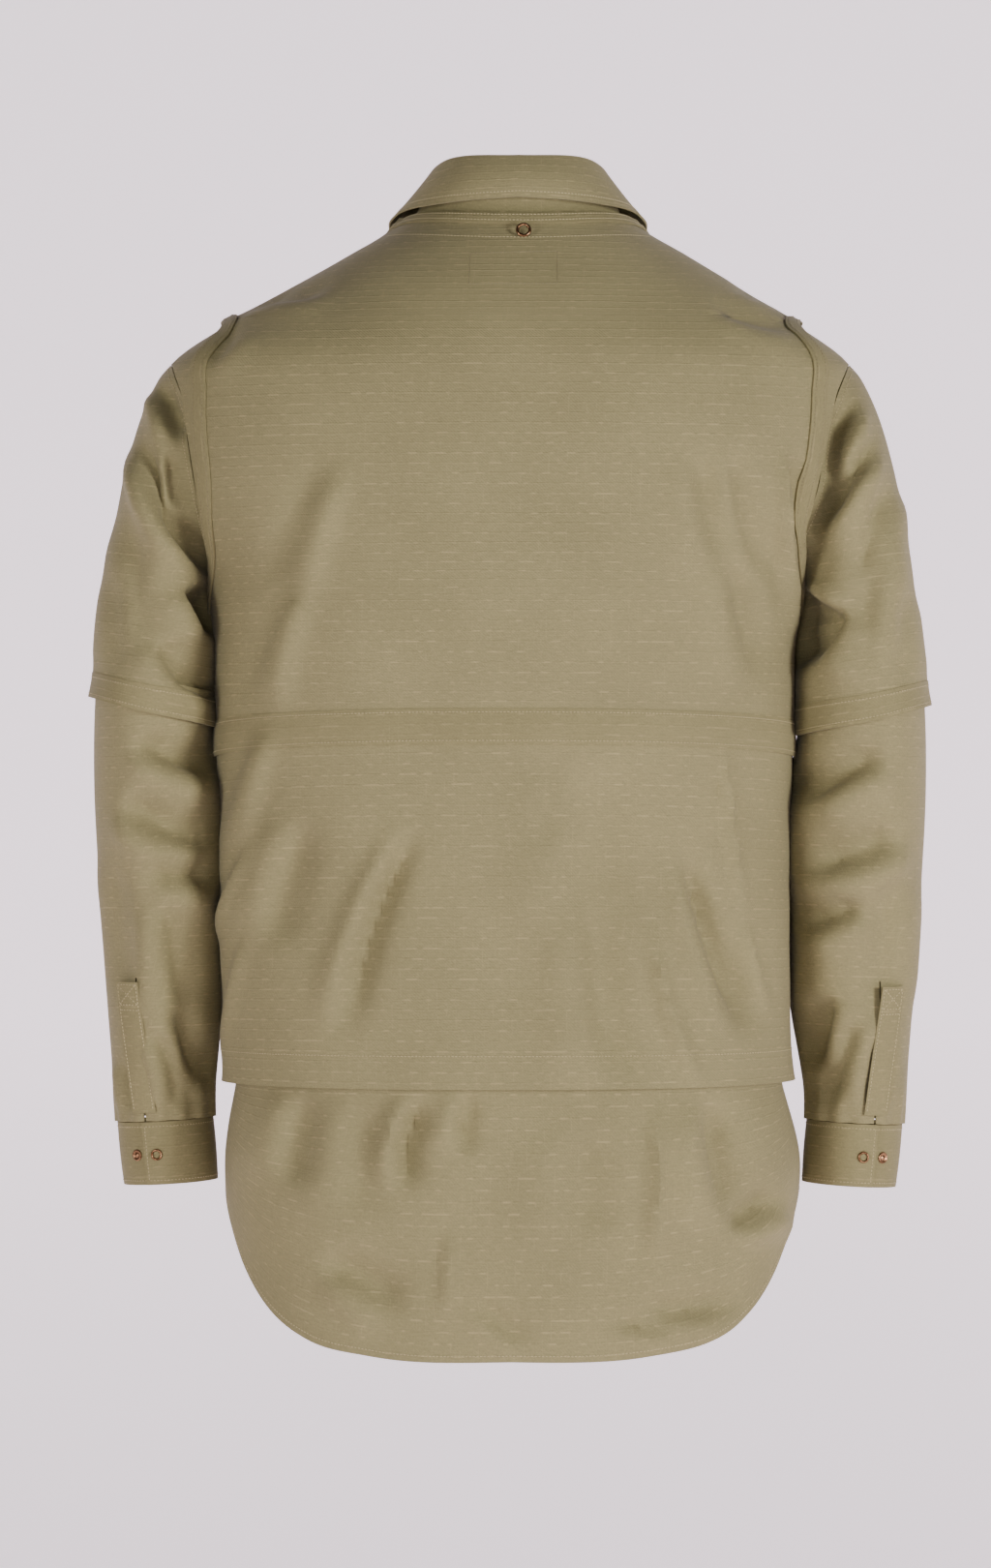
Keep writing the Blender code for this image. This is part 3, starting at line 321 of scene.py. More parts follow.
def cloth_shell(name, outer, inner, finish, closed=False, missing=None, grain=None):
    """Joins two grids into a closed shell; closed wraps the columns, missing leaves cells out."""
    if closed:
        outer = np.concatenate([outer, outer[:, :1]], axis=1)
        inner = np.concatenate([inner, inner[:, :1]], axis=1)
    rows, columns = outer.shape[:2]
    spans = columns - 1
    row, column = np.mgrid[0:rows - 1, 0:spans]
    after = (column + 1) % spans if closed else column + 1
    loops = np.stack([row * columns + column, (row + 1) * columns + column,
                      (row + 1) * columns + after, row * columns + after], axis=-1)
    corners = np.stack([row * columns + column, (row + 1) * columns + column,
                        (row + 1) * columns + column + 1, row * columns + column + 1], axis=-1)
    keep = np.ones((rows - 1, spans), bool)
    if missing is not None:
        keep[missing] = False
    loops = loops[keep]
    corners = corners[keep]
    count = rows * columns
    size = count + 1
    starts = loops.reshape(-1)
    ends = np.roll(loops, -1, axis=1).reshape(-1)
    open_edge = ~np.isin(starts * size + ends, ends * size + starts)
    first = starts[open_edge]
    last = ends[open_edge]
    rim = np.stack([last, first, first + count, last + count], axis=-1)
    next_corners = np.roll(corners, -1, axis=1).reshape(-1)
    rim_corners = np.stack([next_corners[open_edge], corners.reshape(-1)[open_edge]], axis=-1)
    rim_corners = np.concatenate([rim_corners, rim_corners[:, ::-1]], axis=1)
    faces = np.concatenate([loops, loops[:, ::-1] + count, rim])
    flat = np.concatenate([corners, corners[:, ::-1], rim_corners])
    used, packed = np.unique(faces.reshape(-1), return_inverse=True)
    points = np.concatenate([outer.reshape(-1, 3), inner.reshape(-1, 3)])[used]
    place = metre_map(outer, grain).reshape(-1, 2)
    face_object(name, points, packed.reshape(-1, 4), finish, place[flat.reshape(-1)])
    width = np.linalg.norm(np.diff(outer, axis=1), axis=-1).sum(axis=1).max()
    length = np.linalg.norm(np.diff(outer, axis=0), axis=-1).sum(axis=0).max()
    SHEETS.append((name, grid_area(outer), width, length))


def face_object(name, points, faces, finish, places=None):
    """A mesh from points and four-cornered faces, turned outwards if its signed volume comes out negative."""
    corner = points[faces]
    first, second, third = (corner[:, index] - corner[:, 0] for index in (1, 2, 3))
    square = np.cross(first, second) + np.cross(second, third)
    if (corner[:, 0] * square).sum() < 0:
        faces = faces[:, ::-1]
        if places is not None:
            places = places.reshape(-1, 4, 2)[:, ::-1].reshape(-1, 2)
    mesh = bpy.data.meshes.new(name)
    mesh.vertices.add(len(points))
    mesh.loops.add(faces.size)
    mesh.polygons.add(len(faces))
    mesh.vertices.foreach_set("co", points.astype(np.float32).reshape(-1))
    mesh.loops.foreach_set("vertex_index", faces.astype(np.int32).reshape(-1))
    mesh.polygons.foreach_set("loop_start", np.arange(0, faces.size, 4, dtype=np.int32))
    mesh.update(calc_edges=True)
    if places is not None:
        layer = mesh.uv_layers.new(name="metres")
        layer.data.foreach_set("uv", places.astype(np.float32).reshape(-1))
    mesh.shade_smooth()
    mesh.set_sharp_from_angle(angle=np.radians(50))
    mesh.materials.append(finish)
    piece = bpy.data.objects.new(name, mesh)
    bpy.context.collection.objects.link(piece)
    return piece


# %% [markdown]
# ## Finishes
# Ripstop cotton is a plain weave with a heavier thread every few millimetres. Here it was piece-dyed
# khaki and washed, so that the heavy weft shows as broken pale dashes and the cloth is dry and matt, with
# a faint bloom at its edges. Bars and noise are laid out on the metre map, so every size below is a true
# length.

# %% Nodes
def linear(code):
    """A hex colour of the screen in linear light: ((c + 0.055) / 1.055)^2.4, or c / 12.92 if dark."""
    part = np.array([int(code[index:index + 2], 16) for index in (1, 3, 5)]) / 255
    light = np.where(part > 0.04045, ((part + 0.055) / 1.055) ** 2.4, part / 12.92)
    return (*light.tolist(), 1.0)


def add_node(tree, kind, inputs=(), out=0, **settings):
    """Adds a node, sets its own settings, fills its sockets with values or links, and returns one output."""
    made = tree.nodes.new(kind)
    for name, value in settings.items():
        setattr(made, name, value)
    for socket, value in dict(inputs).items():
        if isinstance(value, bpy.types.NodeSocket):
            tree.links.new(value, made.inputs[socket])
        else:
            made.inputs[socket].default_value = value
    return made.outputs[out]


def maths(tree, operation, first, second=0.5):
    """One step of arithmetic on numbers or sockets."""
    return add_node(tree, "ShaderNodeMath", {0: first, 1: second}, operation=operation)


def spread(tree, value, low, high, to_low=0.0, to_high=1.0, **settings):
    """Takes a value from the range low to high to the range to_low to to_high."""
    sockets = {"Value": value, "From Min": low, "From Max": high, "To Min": to_low, "To Max": to_high}
    return add_node(tree, "ShaderNodeMapRange", sockets, **settings)


def noise_at(tree, vector, scale, detail=1.0, **settings):
    """A cloud of values about 0.5, with so many bumps a metre as scale says."""
    sockets = {"Vector": vector, "Scale": scale, "Detail": detail}
    return add_node(tree, "ShaderNodeTexNoise", sockets, **settings)


def blend(tree, share, first, second):
    """A colour between two others."""
    return add_node(tree, "ShaderNodeMix", {0: share, 6: first, 7: second}, out=2, data_type="RGBA")


def new_finish(name, **values):
    """An empty Principled material, with the values of the sockets that are the same all over."""
    finish = bpy.data.materials.new(name)
    finish.use_nodes = True
    shader = finish.node_tree.nodes["Principled BSDF"]
    for socket, value in values.items():
        shader.inputs[socket.replace("_", " ")].default_value = value
    return finish, finish.node_tree, shader


# %% [markdown]
# The heavy wefts lie 7 mm apart. Each is a run of dashes, because the dye took unevenly along the slub
# yarn. The single threads of the real cloth are 0.3 mm apart, too fine for a picture of the whole
# garment, so they are drawn 1.1 mm apart and shallow.

# %% Ripstop cotton
RIB_PITCH = 0.0070
THREAD_PITCH = 0.0011


def ripstop(name, base, dash, dash_strength, depth):
    """Base colour by slow noise, pale dashes where a rib and a noise along it meet, and a fine bump."""
    finish, tree, shader = new_finish(name, Metallic=0.0, IOR=1.46, Sheen_Weight=0.06, Sheen_Roughness=0.5,
                                      Specular_IOR_Level=0.25)
    place = add_node(tree, "ShaderNodeUVMap", uv_map="metres")
    split = tree.nodes.new("ShaderNodeSeparateXYZ")
    tree.links.new(place, split.inputs[0])
    across = split.outputs[0]
    down = split.outputs[1]

    def scaled(u_scale, v_scale, extra=0.0):
        u = maths(tree, "MULTIPLY", across, u_scale)
        v = maths(tree, "MULTIPLY", down, v_scale)
        return add_node(tree, "ShaderNodeCombineXYZ", {0: u, 1: v, 2: extra})

    def lines(along, pitch, half_share):
        turns = maths(tree, "MULTIPLY", along, 1 / pitch)
        off = maths(tree, "SUBTRACT", maths(tree, "FRACT", turns), 0.5)
        size = maths(tree, "ABSOLUTE", off)
        row = maths(tree, "FLOOR", turns)
        mask = spread(tree, size, half_share * 0.5, half_share, 1.0, 0.0, interpolation_type="SMOOTHSTEP")
        return mask, row

    def broken(mask, row, along, length, low, high):
        number = maths(tree, "MULTIPLY", row, 7.31)
        run = maths(tree, "MULTIPLY", along, 1 / length)
        vector = add_node(tree, "ShaderNodeCombineXYZ", {0: run, 1: number})
        dashes = spread(tree, noise_at(tree, vector, 1.0, noise_dimensions="2D"), low, high)
        return maths(tree, "MULTIPLY", mask, dashes)

    weft_mask, weft_row = lines(down, RIB_PITCH, 0.11)
    warp_mask, warp_row = lines(across, RIB_PITCH * 0.9, 0.07)
    weft = broken(weft_mask, weft_row, across, 0.008, 0.50, 0.66)
    warp = broken(warp_mask, warp_row, down, 0.009, 0.50, 0.66)
    slow = noise_at(tree, scaled(1, 1), 11.0, 3.0)
    slub = noise_at(tree, scaled(160, 1100), 1.0, 2.0)
    speck = noise_at(tree, scaled(620, 620, 3.0), 1.0)

    tone = spread(tree, slow, 0.3, 0.7, 0.93, 1.07)
    streak = spread(tree, slub, 0.25, 0.75, 0.90, 1.10)
    grain = spread(tree, speck, 0.3, 0.7, 0.94, 1.06)
    shade = maths(tree, "MULTIPLY", maths(tree, "MULTIPLY", tone, streak), grain)
    ground = add_node(tree, "ShaderNodeVectorMath", {0: linear(base)[:3], 1: shade}, operation="MULTIPLY")
    pale = maths(tree, "MAXIMUM", weft, maths(tree, "MULTIPLY", warp, 0.35))
    pale = maths(tree, "MULTIPLY", pale, dash_strength)
    colour = blend(tree, pale, ground, linear(dash))
    tree.links.new(colour, shader.inputs["Base Color"])

    tree.links.new(spread(tree, slub, 0.2, 0.8, 0.78, 0.94), shader.inputs["Roughness"])
    weave = add_node(tree, "ShaderNodeTexWave", {"Vector": scaled(1, 1), "Scale": 0.314 / THREAD_PITCH,
                                                 "Distortion": 0.6, "Detail": 1.0},
                     wave_type="BANDS", bands_direction="DIAGONAL")
    high = maths(tree, "ADD", slub, maths(tree, "MULTIPLY", weave, 0.35))
    high = maths(tree, "ADD", high, maths(tree, "MULTIPLY", weft_mask, 0.9))
    bump = add_node(tree, "ShaderNodeBump", {"Height": high, "Distance": depth, "Strength": 0.6})
    tree.links.new(bump, shader.inputs["Normal"])
    return finish


# Single cloth is the bright side of the roll. Doubled cloth was pressed hard and reads a little darker.
CLOTH_FINISH = ripstop("ripstop_cotton", "#817855", "#AC9C72", 0.34, 0.00022)
TRIM_FINISH = ripstop("ripstop_cotton_doubled", "#7D7451", "#A6976E", 0.28, 0.00018)


# %% [markdown]
# The topstitching is a core-spun cotton thread a shade paler than the cloth. The snaps are stamped brass,
# dipped dark and tumbled, so the high rims went coppery and the hollows stayed brown.

# %% Thread and antique brass
def stitching_thread(name, dark, light):
    """Two tones by a quick noise along the thread, as its plies catch the light in turn."""
    finish, tree, shader = new_finish(name, Metallic=0.0, IOR=1.46, Sheen_Weight=0.1,
                                      Specular_IOR_Level=0.3, Roughness=0.62)
    plies = noise_at(tree, add_node(tree, "ShaderNodeTexCoord", out=3), 900.0)
    tree.links.new(blend(tree, plies, linear(dark), linear(light)), shader.inputs["Base Color"])
    return finish


def antique_brass():
    """Copper-brown metal, darker and rougher where a fine noise is low, as tumbling leaves it."""
    finish, tree, shader = new_finish("antique_brass", Metallic=1.0)
    tumbled = noise_at(tree, add_node(tree, "ShaderNodeTexCoord", out=3), 420.0, 3.0)
    colour = blend(tree, spread(tree, tumbled, 0.38, 0.62), linear("#5F412C"), linear("#A87F5E"))
    tree.links.new(colour, shader.inputs["Base Color"])
    tree.links.new(spread(tree, tumbled, 0.3, 0.7, 0.48, 0.26), shader.inputs["Roughness"])
    return finish


THREAD_FINISH = stitching_thread("khaki_thread", "#958860", "#B9AB83")
OLIVE_THREAD = stitching_thread("olive_thread", "#6A6045", "#857A5A")
BRASS_FINISH = antique_brass()
print("finishes:", [finish.name for finish in bpy.data.materials if finish.use_nodes][-4:])


# %% [markdown]
# ## Edges of the panels
# The same edges cut every panel: the neck, the two armholes, the front laps and the curved tail. An
# armhole is an ellipse seen from the side, laid on the form. The vest's neck and armholes are cut wider
# than the shirt's.

# %% Edges
SHIRT_NECK = ((90, 0.0060), (0, 0.0040), (-51, -0.0200), (-72, -0.0500), (-82, -0.0690), (-90, -0.0750))
VEST_NECK = ((90, 0.0060), (0, 0.0040), (-46, -0.0200), (-66, -0.0500), (-76, -0.0800), (-90, -0.1150))
SHIRT_ARMHOLE = {"top": -0.093, "bottom": -0.235, "back": 0.065, "front": 0.062, "upper": 0.65, "lower": 1.0}
VEST_ARMHOLE = {"top": -0.066, "bottom": -0.262, "back": 0.0735, "front": 0.071, "upper": 0.54, "lower": 1.5}
ARMHOLE_STEPS = 44
LAP = 0.015
LAP_LIFT = 0.0020
CASING_TOP = -0.3355
CASING_HEIGHT = 0.0245
CASING_DROOP = 0.009
VEST_HEM = -0.596
BACK_HEM = ((0.0, -0.672), (0.030, -0.693), (0.055, -0.722), (0.085, -0.751), (0.120, -0.770),
            (0.165, -0.779), (0.300, -0.782))
FRONT_HEM = ((0.0, -0.672), (0.030, -0.686), (0.060, -0.706), (0.100, -0.726), (0.150, -0.738),
             (0.300, -0.742))


def neck_height(table, angle):
    """The height of a neck edge at an angle, the same on both sides."""
    angle = np.asarray(angle, float)
    angles, heights = zip(*table)
    return through(angles, heights, np.where(angle > 90, 180 - angle, angle))


def armhole_place(shape, turn, side=1, wider=0.0, higher=0.0):
    """Height is middle + half * cos(turn), depth is reach * sin(turn)^fullness, squarer at the top."""
    half = (shape["top"] - shape["bottom"]) / 2
    height = (shape["top"] + shape["bottom"]) / 2
    height = height + (half + np.where(np.cos(turn) > 0, higher, wider)) * np.cos(turn)
    depth = np.where(np.sin(turn) >= 0, shape["back"], shape["front"]) + wider
    centre, half_width, back, front, power = section(height)
    fullness = np.where(np.cos(turn) > 0, shape["upper"], shape["lower"])
    fullness = np.where(np.sin(turn) >= 0, fullness, 1.0)
    reach = depth * np.abs(np.sin(turn)) ** fullness / np.where(np.sin(turn) >= 0, back, front)
    angle = np.degrees(np.arcsin(np.clip(reach, 0, 1) ** (power / 2))) * np.sign(np.sin(turn))
    return (180 - angle if side < 0 else angle), height


def lap_angle(height, lap=LAP):
    """The angle on the front a lap's width beyond the centre."""
    centre, half_width, back, front, power = section(height)
    reach = (lap + centre) / half_width
    return -90 - np.degrees(np.arcsin(np.sign(reach) * np.abs(reach) ** (power / 2)))


def even_rows(starts, ends, count):
    """Rows of places at equal lengths on the form, on straight lines of angle and height."""
    share = np.linspace(0.0, 1.0, 241)
    angle = starts[:, :1] + (ends - starts)[:, :1] * share
    height = starts[:, 1:] + (ends - starts)[:, 1:] * share
    steps = np.linalg.norm(np.diff(form_point(angle, height), axis=1), axis=-1)
    length = np.concatenate([np.zeros((len(steps), 1)), np.cumsum(steps, axis=1)], axis=1)
    wanted = np.linspace(0.0, 1.0, count)
    rows = range(len(starts))
    angle = np.array([np.interp(wanted * length[row, -1], length[row], angle[row]) for row in rows])
    height = np.array([np.interp(wanted * length[row, -1], length[row], height[row]) for row in rows])
    return angle, height


def hem_height(table, turned, facing):
    """The hem's height by its length round the form from the side seam; facing is 1 behind, -1 in front."""
    sweep = np.linspace(0.0, 100.0, 161)
    steps = np.linalg.norm(np.diff(form_point(facing * sweep, -0.72), axis=0), axis=1)
    length = np.concatenate([[0.0], np.cumsum(steps)])
    lengths, heights = zip(*table)
    return through(lengths, heights, np.interp(turned, sweep, length))


def back_ends(neck, armhole, heights):
    """Right and left ends of the rows of a back: along the shoulders, the armholes and the side seams."""
    shoulder = np.linspace(neck[1][1], armhole["top"], 20)[1:-1]
    turn = np.linspace(0.0, np.pi, ARMHOLE_STEPS + 1)
    right = np.stack(armhole_place(armhole, turn, -1), axis=-1)
    left = np.stack(armhole_place(armhole, turn, 1), axis=-1)
    low = np.asarray(heights, float)
    starts = np.concatenate([np.stack([0 * shoulder + 180, shoulder], axis=-1), right,
                             np.stack([0 * low + 180, low], axis=-1)])
    above = np.stack([0 * shoulder, shoulder], axis=-1)
    below = np.stack([0 * low, low], axis=-1)
    ends = np.concatenate([above, left, below])
    return starts, ends


def front_ends(neck, armhole, heights):
    """Centre and outer ends of the rows of the left front: shoulder, then armhole, then side seam."""
    neck_steps = ARMHOLE_STEPS // 2
    step = np.arange(1, ARMHOLE_STEPS + 1)
    outer = np.stack(armhole_place(armhole, 2 * np.pi - np.pi * step / ARMHOLE_STEPS), axis=-1)
    angle = -90 * np.clip(step / neck_steps, 0, 1) ** 0.6
    share = np.clip((step - neck_steps) / (ARMHOLE_STEPS - neck_steps), 0, 1)
    height = np.where(step < neck_steps, neck_height(neck, angle),
                      neck[-1][1] + (armhole["bottom"] - neck[-1][1]) * share)
    angle = np.where(step < neck_steps, angle, lap_angle(height) * smooth(-0.2, 0.12, share)
                     - 90 * (1 - smooth(-0.2, 0.12, share)))
    low = np.asarray(heights, float)
    inner = np.concatenate([[[0.0, neck[1][1] - SEAM]], np.stack([angle, height], axis=-1),
                            np.stack([lap_angle(low), low], axis=-1)])
    outer = np.concatenate([[[0.0, armhole["top"]]], outer, np.stack([0 * low, low], axis=-1)])
    return inner, outer


armhole_height = VEST_ARMHOLE["top"] - VEST_ARMHOLE["bottom"]
armhole_depth = VEST_ARMHOLE["back"] + VEST_ARMHOLE["front"]
print("vest armhole: %.0f by %.0f mm from the side" % (1000 * armhole_height, 1000 * armhole_depth))


# %% [markdown]
# ## The outer surface of each layer
# Every seam, binding and stitch has to lie on the same creased cloth, so one function gives the surface.
# The shirt follows the vest's troughs where it is covered, which keeps the two layers apart as worn cloth
# does.

# %% Surfaces
def cloth_rise(points, layer):
    """The creases of the back or the front, and slack, fading to nothing at the side seams."""
    behind = points[..., 1] >= BODY_Y
    fade = smooth(0.0, 0.020, np.abs(points[..., 1] - BODY_Y))
    rise = np.where(behind, crease_rise(points, VEST_BACK_CREASES), crease_rise(points, VEST_FRONT_CREASES))
    below = smooth(-0.09, -0.25, points[..., 2])
    if layer == "vest":
        return fade * (rise + slack(points) * (0.4 + 0.6 * below))
    shown = smooth(-0.585, -0.625, points[..., 2])
    tail = np.where(behind, crease_rise(points, TAIL_CREASES), 0.6 * crease_rise(points, TAIL_CREASES))
    return fade * (np.minimum(rise, 0) * (1 - shown) + tail + shown * slack(points))


def front_lift(points):
    """The left front stands off the right one where it laps over it."""
    return LAP_LIFT * smooth(LAP + 0.075, LAP + 0.030, points[..., 0])


def surface(angle, height, layer, off=0.0, lapped=False):
    """The form moved out along its normal by ease, lap, creases and off; and that normal."""
    base = form_point(angle, height)
    normal = form_normal(base)
    distance = off + cloth_rise(base, layer)
    if layer == "vest":
        distance = distance + vest_ease(base)
    if lapped:
        distance = distance + front_lift(base)
    return base + normal * distance[..., None], normal


def panel(name, angle, height, finish, layer, off=0.0, lapped=False, seam=(), shift=0.0, thick=CLOTH,
          bulge=0.0):
    """A shell on the surface; the columns in seam are drawn apart by shift; bulge rounds it like a tube."""
    round_off = bulge * np.sin(np.pi * np.linspace(0.0, 1.0, len(angle)))[:, None] * np.ones_like(angle)
    outer, normal = surface(angle, height, layer, off + round_off, lapped)
    inner = outer - normal * thick
    for column in seam:
        outer[:, column, 1] += shift
        inner[:, column, 1] += shift
    return cloth_shell(name, outer, inner, finish)


# %% [markdown]
# ## The shirt
# The back is one piece from the collar to a long round tail. Each front has its own curved hem, and the
# left one carries the placket, a strip folded twice. The rows of each grid run from seam to seam.

# %% Shirt body
BACK_COLUMNS = 111
FRONT_COLUMNS = 57
TAIL_ROWS = 40

starts, ends = back_ends(SHIRT_NECK, SHIRT_ARMHOLE, np.arange(-0.245, -0.600, -0.009))
angle, height = even_rows(starts, ends, BACK_COLUMNS)
neck_row, _ = even_rows(np.array([[180.0, 0.004]]), np.array([[0.0, 0.004]]), BACK_COLUMNS)
angle = np.vstack([neck_row, angle])
height = np.vstack([neck_height(SHIRT_NECK, neck_row), height])
hem = hem_height(BACK_HEM, 90 - np.abs(angle[-1] - 90), 1)
down = np.linspace(0.0, 1.0, TAIL_ROWS + 1)[1:, None]
height = np.vstack([height, height[-1] + (hem - height[-1]) * down])
angle = np.vstack([angle, np.tile(angle[-1], (TAIL_ROWS, 1))])
panel("shirt_back_cloth", angle, height, CLOTH_FINISH, "shirt", seam=(0, -1), shift=SEAM)

inner, outer = front_ends(SHIRT_NECK, SHIRT_ARMHOLE, np.arange(-0.245, -0.600, -0.009))
angle, height = even_rows(inner, outer, FRONT_COLUMNS)
hem = hem_height(FRONT_HEM, -angle[-1], -1)
height = np.vstack([height, height[-1] + (hem - height[-1]) * down])
angle = np.vstack([angle, np.tile(angle[-1], (TAIL_ROWS, 1))])
panel("shirt_front_left_cloth", angle, height, CLOTH_FINISH, "shirt", lapped=True, seam=(-1,), shift=-SEAM)
panel("shirt_front_right_cloth", -180 - angle, height, CLOTH_FINISH, "shirt", seam=(-1,), shift=-SEAM)

low = np.linspace(SHIRT_NECK[-1][1] - 0.002, FRONT_HEM[-1][1] + 0.002, 90)
angle, height = even_rows(np.stack([lap_angle(low), low], axis=-1),
                          np.stack([-180 - lap_angle(low), low], axis=-1), 8)
panel("shirt_placket_cloth", angle, height, TRIM_FINISH, "shirt", off=LAP_LIFT + 0.0017)

# %% [markdown]
# ## The vest
# The vest's back is sewn in two panels under a casing, a channel at the waist. Its skirt ends in a
# straight hem. Narrow bindings finish the armholes and the neck.

# %% Vest body
starts, ends = back_ends(VEST_NECK, VEST_ARMHOLE, np.arange(-0.268, -0.322, -0.006))
angle, height = even_rows(starts, ends, BACK_COLUMNS)
droop = CASING_DROOP * (1 - np.sin(np.radians(angle[-1])))
casing_middle = CASING_TOP - CASING_HEIGHT / 2 - droop
angle = np.vstack([neck_row, angle, angle[-1], angle[-1], angle[-1]])
below = [height[-1] + (casing_middle - height[-1]) * share for share in (0.34, 0.67, 1.0)]
height = np.vstack([neck_height(VEST_NECK, neck_row), height, below])
panel("vest_back_upper_cloth", angle, height, CLOTH_FINISH, "vest", seam=(0, -1), shift=SEAM)

down = np.linspace(0.0, 1.0, 62)[:, None]
height = casing_middle - 2 * SEAM + (VEST_HEM - casing_middle) * down
skirt_angle = np.tile(angle[-1], (62, 1))
panel("vest_back_lower_cloth", skirt_angle, height, CLOTH_FINISH, "vest", seam=(0, -1), shift=SEAM)

casing_height = CASING_TOP - droop - CASING_HEIGHT * np.linspace(0.0, 1.0, 8)[:, None]
casing_angle = np.tile(angle[-1], (8, 1))
casing_off = 0.0004 + CLOTH * np.linspace(0.2, 1.4, 8)[:, None]
panel("vest_waist_casing_cloth", casing_angle, casing_height, TRIM_FINISH, "vest", off=casing_off,
      seam=(0, -1), shift=SEAM, bulge=0.0007)

inner, outer = front_ends(VEST_NECK, VEST_ARMHOLE, np.linspace(-0.270, VEST_HEM, 60))
angle, height = even_rows(inner, outer, FRONT_COLUMNS)
panel("vest_front_left_cloth", angle, height, CLOTH_FINISH, "vest", lapped=True, seam=(-1,), shift=-SEAM)
panel("vest_front_right_cloth", -180 - angle, height, CLOTH_FINISH, "vest", seam=(-1,), shift=-SEAM)

ARMHOLE_BINDING = (0.008, 0.004)
turn = np.linspace(0.0, 2 * np.pi, 2 * ARMHOLE_STEPS + 1)[:-1]
for side, word in SIDES:
    rings = [armhole_place(VEST_ARMHOLE, turn, side, *np.array(ARMHOLE_BINDING) * share)
             for share in np.linspace(-0.2, 1, 5)]
    ring_angle = np.array([ring[0] for ring in rings])
    ring_height = np.array([ring[1] for ring in rings])
    rounding = 0.0006 * np.sin(np.pi * np.linspace(0.0, 1.0, 5))[:, None]
    outer, normal = surface(ring_angle, ring_height, "vest", 0.0004 + CLOTH + rounding)
    cloth_shell("vest_armhole_%s_cloth" % word, outer, outer - normal * CLOTH, TRIM_FINISH, closed=True)



def steepness(angle, height):
    """The length along the form for each unit of height, from places a millimetre apart in height."""
    return np.linalg.norm(form_point(angle, height) - form_point(angle, height - 0.001), axis=-1) / 0.001


NECK_BINDING = 0.009
neck_angle = np.linspace(-69.0, 249.0, 141)
edge = neck_height(VEST_NECK, neck_angle) - 0.0004
binding_height = edge - NECK_BINDING / steepness(neck_angle, edge) * np.linspace(0.0, 1.0, 5)[:, None]
panel("vest_neck_binding_cloth", np.tile(neck_angle, (5, 1)), binding_height, TRIM_FINISH, "vest",
      off=0.0004 + CLOTH, bulge=0.0005)


# %% [markdown]
# ## The sleeves
# Each arm has two sleeves: a short wide one with a stitched band, and the long one that comes out of it.
# A sleeve is a stack of rings. Every ring is a superellipse between its outer and its inner point, and a
# cubic through the rings gives as many rows as the creases need. The two arms hang differently, so each
# has creases of its own.

# %% Sleeves
SLEEVE_COLUMNS = ("outer_x", "outer_z", "inner_x", "inner_z", "back", "front", "middle_y", "power")
UPPER_SLEEVE = np.array((
    (0.2480, -0.1045, 0.2140, -0.2465, 0.0640, 0.0660, -0.0080, 2.0),
    (0.2600, -0.1310, 0.2160, -0.2600, 0.0690, 0.0700, -0.0085, 2.0),
    (0.2690, -0.1640, 0.2165, -0.2710, 0.0730, 0.0730, -0.0090, 2.1),
    (0.2770, -0.2050, 0.2150, -0.2840, 0.0760, 0.0760, -0.0100, 2.1),
    (0.2850, -0.2560, 0.2155, -0.3020, 0.0775, 0.0775, -0.0110, 2.2),
    (0.2920, -0.3040, 0.2155, -0.3240, 0.0780, 0.0780, -0.0120, 2.2),
    (0.2950, -0.3260, 0.2155, -0.3480, 0.0785, 0.0785, -0.0125, 2.2),
))
LOWER_SLEEVE = np.array((
    (0.2915, -0.3260, 0.2185, -0.3480, 0.0735, 0.0735, -0.0125, 2.2),
    (0.2925, -0.3600, 0.2145, -0.3740, 0.0710, 0.0710, -0.0140, 2.2),
    (0.2925, -0.4000, 0.2110, -0.4080, 0.0690, 0.0690, -0.0170, 2.2),
    (0.2910, -0.4400, 0.2090, -0.4440, 0.0660, 0.0660, -0.0200, 2.2),
    (0.2890, -0.4800, 0.2085, -0.4820, 0.0620, 0.0620, -0.0230, 2.1),
    (0.2865, -0.5200, 0.2085, -0.5210, 0.0575, 0.0575, -0.0260, 2.1),
    (0.2845, -0.5560, 0.2085, -0.5560, 0.0530, 0.0530, -0.0280, 2.1),
    (0.2825, -0.5920, 0.2085, -0.5920, 0.0480, 0.0480, -0.0300, 2.0),
    (0.2805, -0.6260, 0.2085, -0.6220, 0.0420, 0.0420, -0.0310, 2.0),
))
LEFT_UPPER_CREASES = (
    (0.246, -0.108, 0.227, -0.150, 0.000, 0.007, 0.0046),
    (0.258, -0.146, 0.210, -0.244, 0.006, 0.008, 0.0070),
    (0.238, -0.154, 0.223, -0.200, 0.003, 0.006, 0.0040),
    (0.228, -0.248, 0.211, -0.286, 0.000, 0.010, 0.0054),
    (0.264, -0.196, 0.250, -0.306, 0.004, 0.012, 0.0030),
    (0.276, -0.236, 0.274, -0.316, 0.000, 0.009, 0.0024),
    (0.236, -0.314, 0.214, -0.328, 0.000, 0.006, 0.0026),
    (0.244, -0.286, 0.224, -0.322, 0.003, 0.009, 0.0032),
)
LEFT_LOWER_CREASES = (
    (0.260, -0.356, 0.210, -0.378, 0.003, 0.011, 0.0050),
    (0.272, -0.398, 0.209, -0.428, 0.005, 0.012, 0.0058),
    (0.254, -0.450, 0.209, -0.452, 0.000, 0.011, 0.0044),
    (0.276, -0.436, 0.270, -0.545, 0.004, 0.013, 0.0028),
    (0.238, -0.466, 0.221, -0.566, 0.005, 0.012, 0.0040),
    (0.240, -0.541, 0.209, -0.604, 0.000, 0.010, 0.0046),
    (0.252, -0.556, 0.231, -0.620, -0.004, 0.008, 0.0038),
    (0.272, -0.582, 0.268, -0.620, 0.000, 0.006, 0.0024),
)
